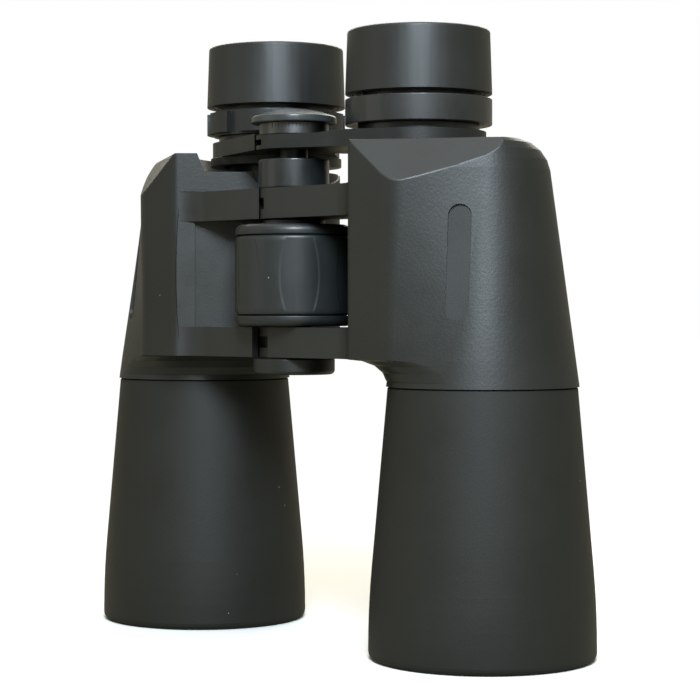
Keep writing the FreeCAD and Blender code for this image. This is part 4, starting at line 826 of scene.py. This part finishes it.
class BINOCULARS_OT_stage(PieceOperator, bpy.types.Operator):
    """Set the floor, the surroundings, the lights and the camera"""

    bl_idname = "binoculars.stage"
    bl_label = "Stage"

    EYE_POINT = Vector((0.43601, -0.43693, 0.09562))
    VIEW = Vector((-0.70016, 0.71375, -0.01837))
    LENS = 107.93
    AIM = Vector((0.0, 0.0, 0.09))
    FLOOR_RADIUS = 6.0
    PLAIN_FLOOR = 0.10             # distance from the middle up to which the floor is plain
    BRIGHT_FLOOR = 0.5             # and from which it is as bright as the backdrop
    FRONT = Vector((0.70, -0.714, 0.0))
    SIDE = Vector((0.714, 0.70, 0.0))
    # Name, place towards the front and the side, height, width, length, tint.
    SOFT_BOXES = (
        ("key", 0.55, 0.02, 0.47, 0.22, 0.26, (0.76, 0.885, 1.0)),
        ("fill", 0.25, -0.95, 0.30, 0.5, 0.6, (1.0, 0.96, 0.88)),
        ("top", 0.0, 0.0, 1.3, 1.2, 1.2, (1.0, 0.99, 0.97)),
        ("back", -0.75, 0.0, 0.62, 0.9, 0.5, (1.0, 0.96, 0.84)))

    def soft_box(self, name, place, wide, tall, power, tint):
        """A rectangular light that faces the object."""
        light = bpy.data.lights.new(name, "AREA")
        light.shape = "RECTANGLE"
        light.size = wide
        light.size_y = tall
        light.energy = power
        light.color = tint
        box = bpy.data.objects.new(name, light)
        box.location = place
        box.rotation_euler = (self.AIM - place).to_track_quat("-Z", "Y").to_euler()
        bpy.context.scene.collection.objects.link(box)

    def floor(self, tint, bounce):
        """Round floor, plain and pale near the object and bright where it meets the backdrop.

        To anything but the camera it is dimmer, as a floor is that the lights don't reach.
        """
        form = bmesh.new()
        bmesh.ops.create_circle(form, cap_ends=True, segments=96, radius=self.FLOOR_RADIUS)
        sheet = bpy.data.meshes.new("floor")
        form.to_mesh(sheet)
        form.free()
        made = bpy.data.objects.new("floor", sheet)
        bpy.context.scene.collection.objects.link(made)
        finish = Finish("floor_paper", specular_ior_level=0.2, emission_color=WHITE)
        seen = finish.node("ShaderNodeLightPath").outputs["Is Camera Ray"]
        gap = finish.vector("LENGTH", {0: finish.place}, "Value")
        far = finish.node("ShaderNodeMapRange", {
            "Value": gap, "From Min": self.PLAIN_FLOOR, "From Max": self.BRIGHT_FLOOR,
            "To Min": 0.0, "To Max": 1.0}, interpolation_type="SMOOTHSTEP").outputs["Result"]
        fibres = finish.noise(0.002, 4.0, 0.6)
        tone = finish.blend(fibres, shade(tint, 0.99), shade(tint, 1.01))
        finish.feed(finish.shader.inputs["Emission Strength"], finish.maths("MULTIPLY", far, seen))
        lit = finish.blend(far, tone, BLACK)
        sheet.materials.append(finish.paint(finish.blend(seen, shade(bounce, 1.0), lit), 0.9))

    def surroundings(self, tint):
        """A plain white backdrop to the camera and the tint to everything else."""
        world = bpy.data.worlds.new("studio")
        bpy.context.scene.world = world
        world.use_nodes = True
        tree = world.node_tree
        room = tree.nodes["Background"]
        room.inputs["Color"].default_value = shade(tint, 1.0)
        backdrop = tree.nodes.new("ShaderNodeBackground")
        backdrop.inputs["Color"].default_value = WHITE
        seen = tree.nodes.new("ShaderNodeLightPath")
        mixed = tree.nodes.new("ShaderNodeMixShader")
        tree.links.new(seen.outputs["Is Camera Ray"], mixed.inputs["Fac"])
        tree.links.new(room.outputs["Background"], mixed.inputs[1])
        tree.links.new(backdrop.outputs["Background"], mixed.inputs[2])
        tree.links.new(mixed.outputs["Shader"], tree.nodes["World Output"].inputs["Surface"])

    def execute(self, context):
        stage = settings().stage
        scene = context.scene
        scene.view_settings.view_transform = "Standard"
        lens = bpy.data.cameras.new("camera")
        lens.lens = self.LENS
        lens.clip_start = 0.01
        camera = bpy.data.objects.new("camera", lens)
        camera.location = self.EYE_POINT
        camera.rotation_euler = self.VIEW.to_track_quat("-Z", "Y").to_euler()
        scene.collection.objects.link(camera)
        scene.camera = camera
        for name, ahead, aside, height, wide, tall, tint in self.SOFT_BOXES:
            place = self.FRONT * ahead + self.SIDE * aside + Vector((0, 0, height))
            self.soft_box(name, place, wide, tall, getattr(stage, name), tint)
        self.floor(stage.floor, stage.bounce)
        self.surroundings(stage.surroundings)
        return {"FINISHED"}


class BINOCULARS_PT_panel(bpy.types.Panel):
    """Lists the steps that finish the binoculars"""

    bl_idname = "BINOCULARS_PT_panel"
    bl_label = "Binoculars"
    bl_space_type = "VIEW_3D"
    bl_region_type = "UI"
    bl_category = "Binoculars"

    def draw(self, context):
        column = self.layout.column()
        for operator in OPERATORS:
            column.operator(operator.bl_idname)
        for group in ("rubber", "metal", "wheel", "scale", "stage"):
            part = getattr(context.scene.binoculars, group)
            box = column.box()
            box.label(text=group.title())
            for name in part.__annotations__:
                box.prop(part, name)


OPERATORS = (BINOCULARS_OT_armour, BINOCULARS_OT_castings, BINOCULARS_OT_wheel,
             BINOCULARS_OT_bridge, BINOCULARS_OT_hinge, BINOCULARS_OT_eyepieces,
             BINOCULARS_OT_optics, BINOCULARS_OT_fittings, BINOCULARS_OT_stage)
CLASSES = (RubberSettings, MetalSettings, WheelSettings, ScaleSettings, StageSettings,
           BinocularSettings, *OPERATORS, BINOCULARS_PT_panel)


def register():
    for kind in CLASSES:
        bpy.utils.register_class(kind)
    bpy.types.Scene.binoculars = PointerProperty(type=BinocularSettings)


def unregister():
    del bpy.types.Scene.binoculars
    for kind in reversed(CLASSES):
        bpy.utils.unregister_class(kind)


def main():
    """Registers everything and runs each step."""
    register()
    bpy.ops.binoculars.armour()
    bpy.ops.binoculars.castings()
    bpy.ops.binoculars.wheel()
    bpy.ops.binoculars.bridge()
    bpy.ops.binoculars.hinge()
    bpy.ops.binoculars.eyepieces()
    bpy.ops.binoculars.optics()
    bpy.ops.binoculars.fittings()
    bpy.ops.binoculars.stage()


if __name__ == "__main__":
    main()
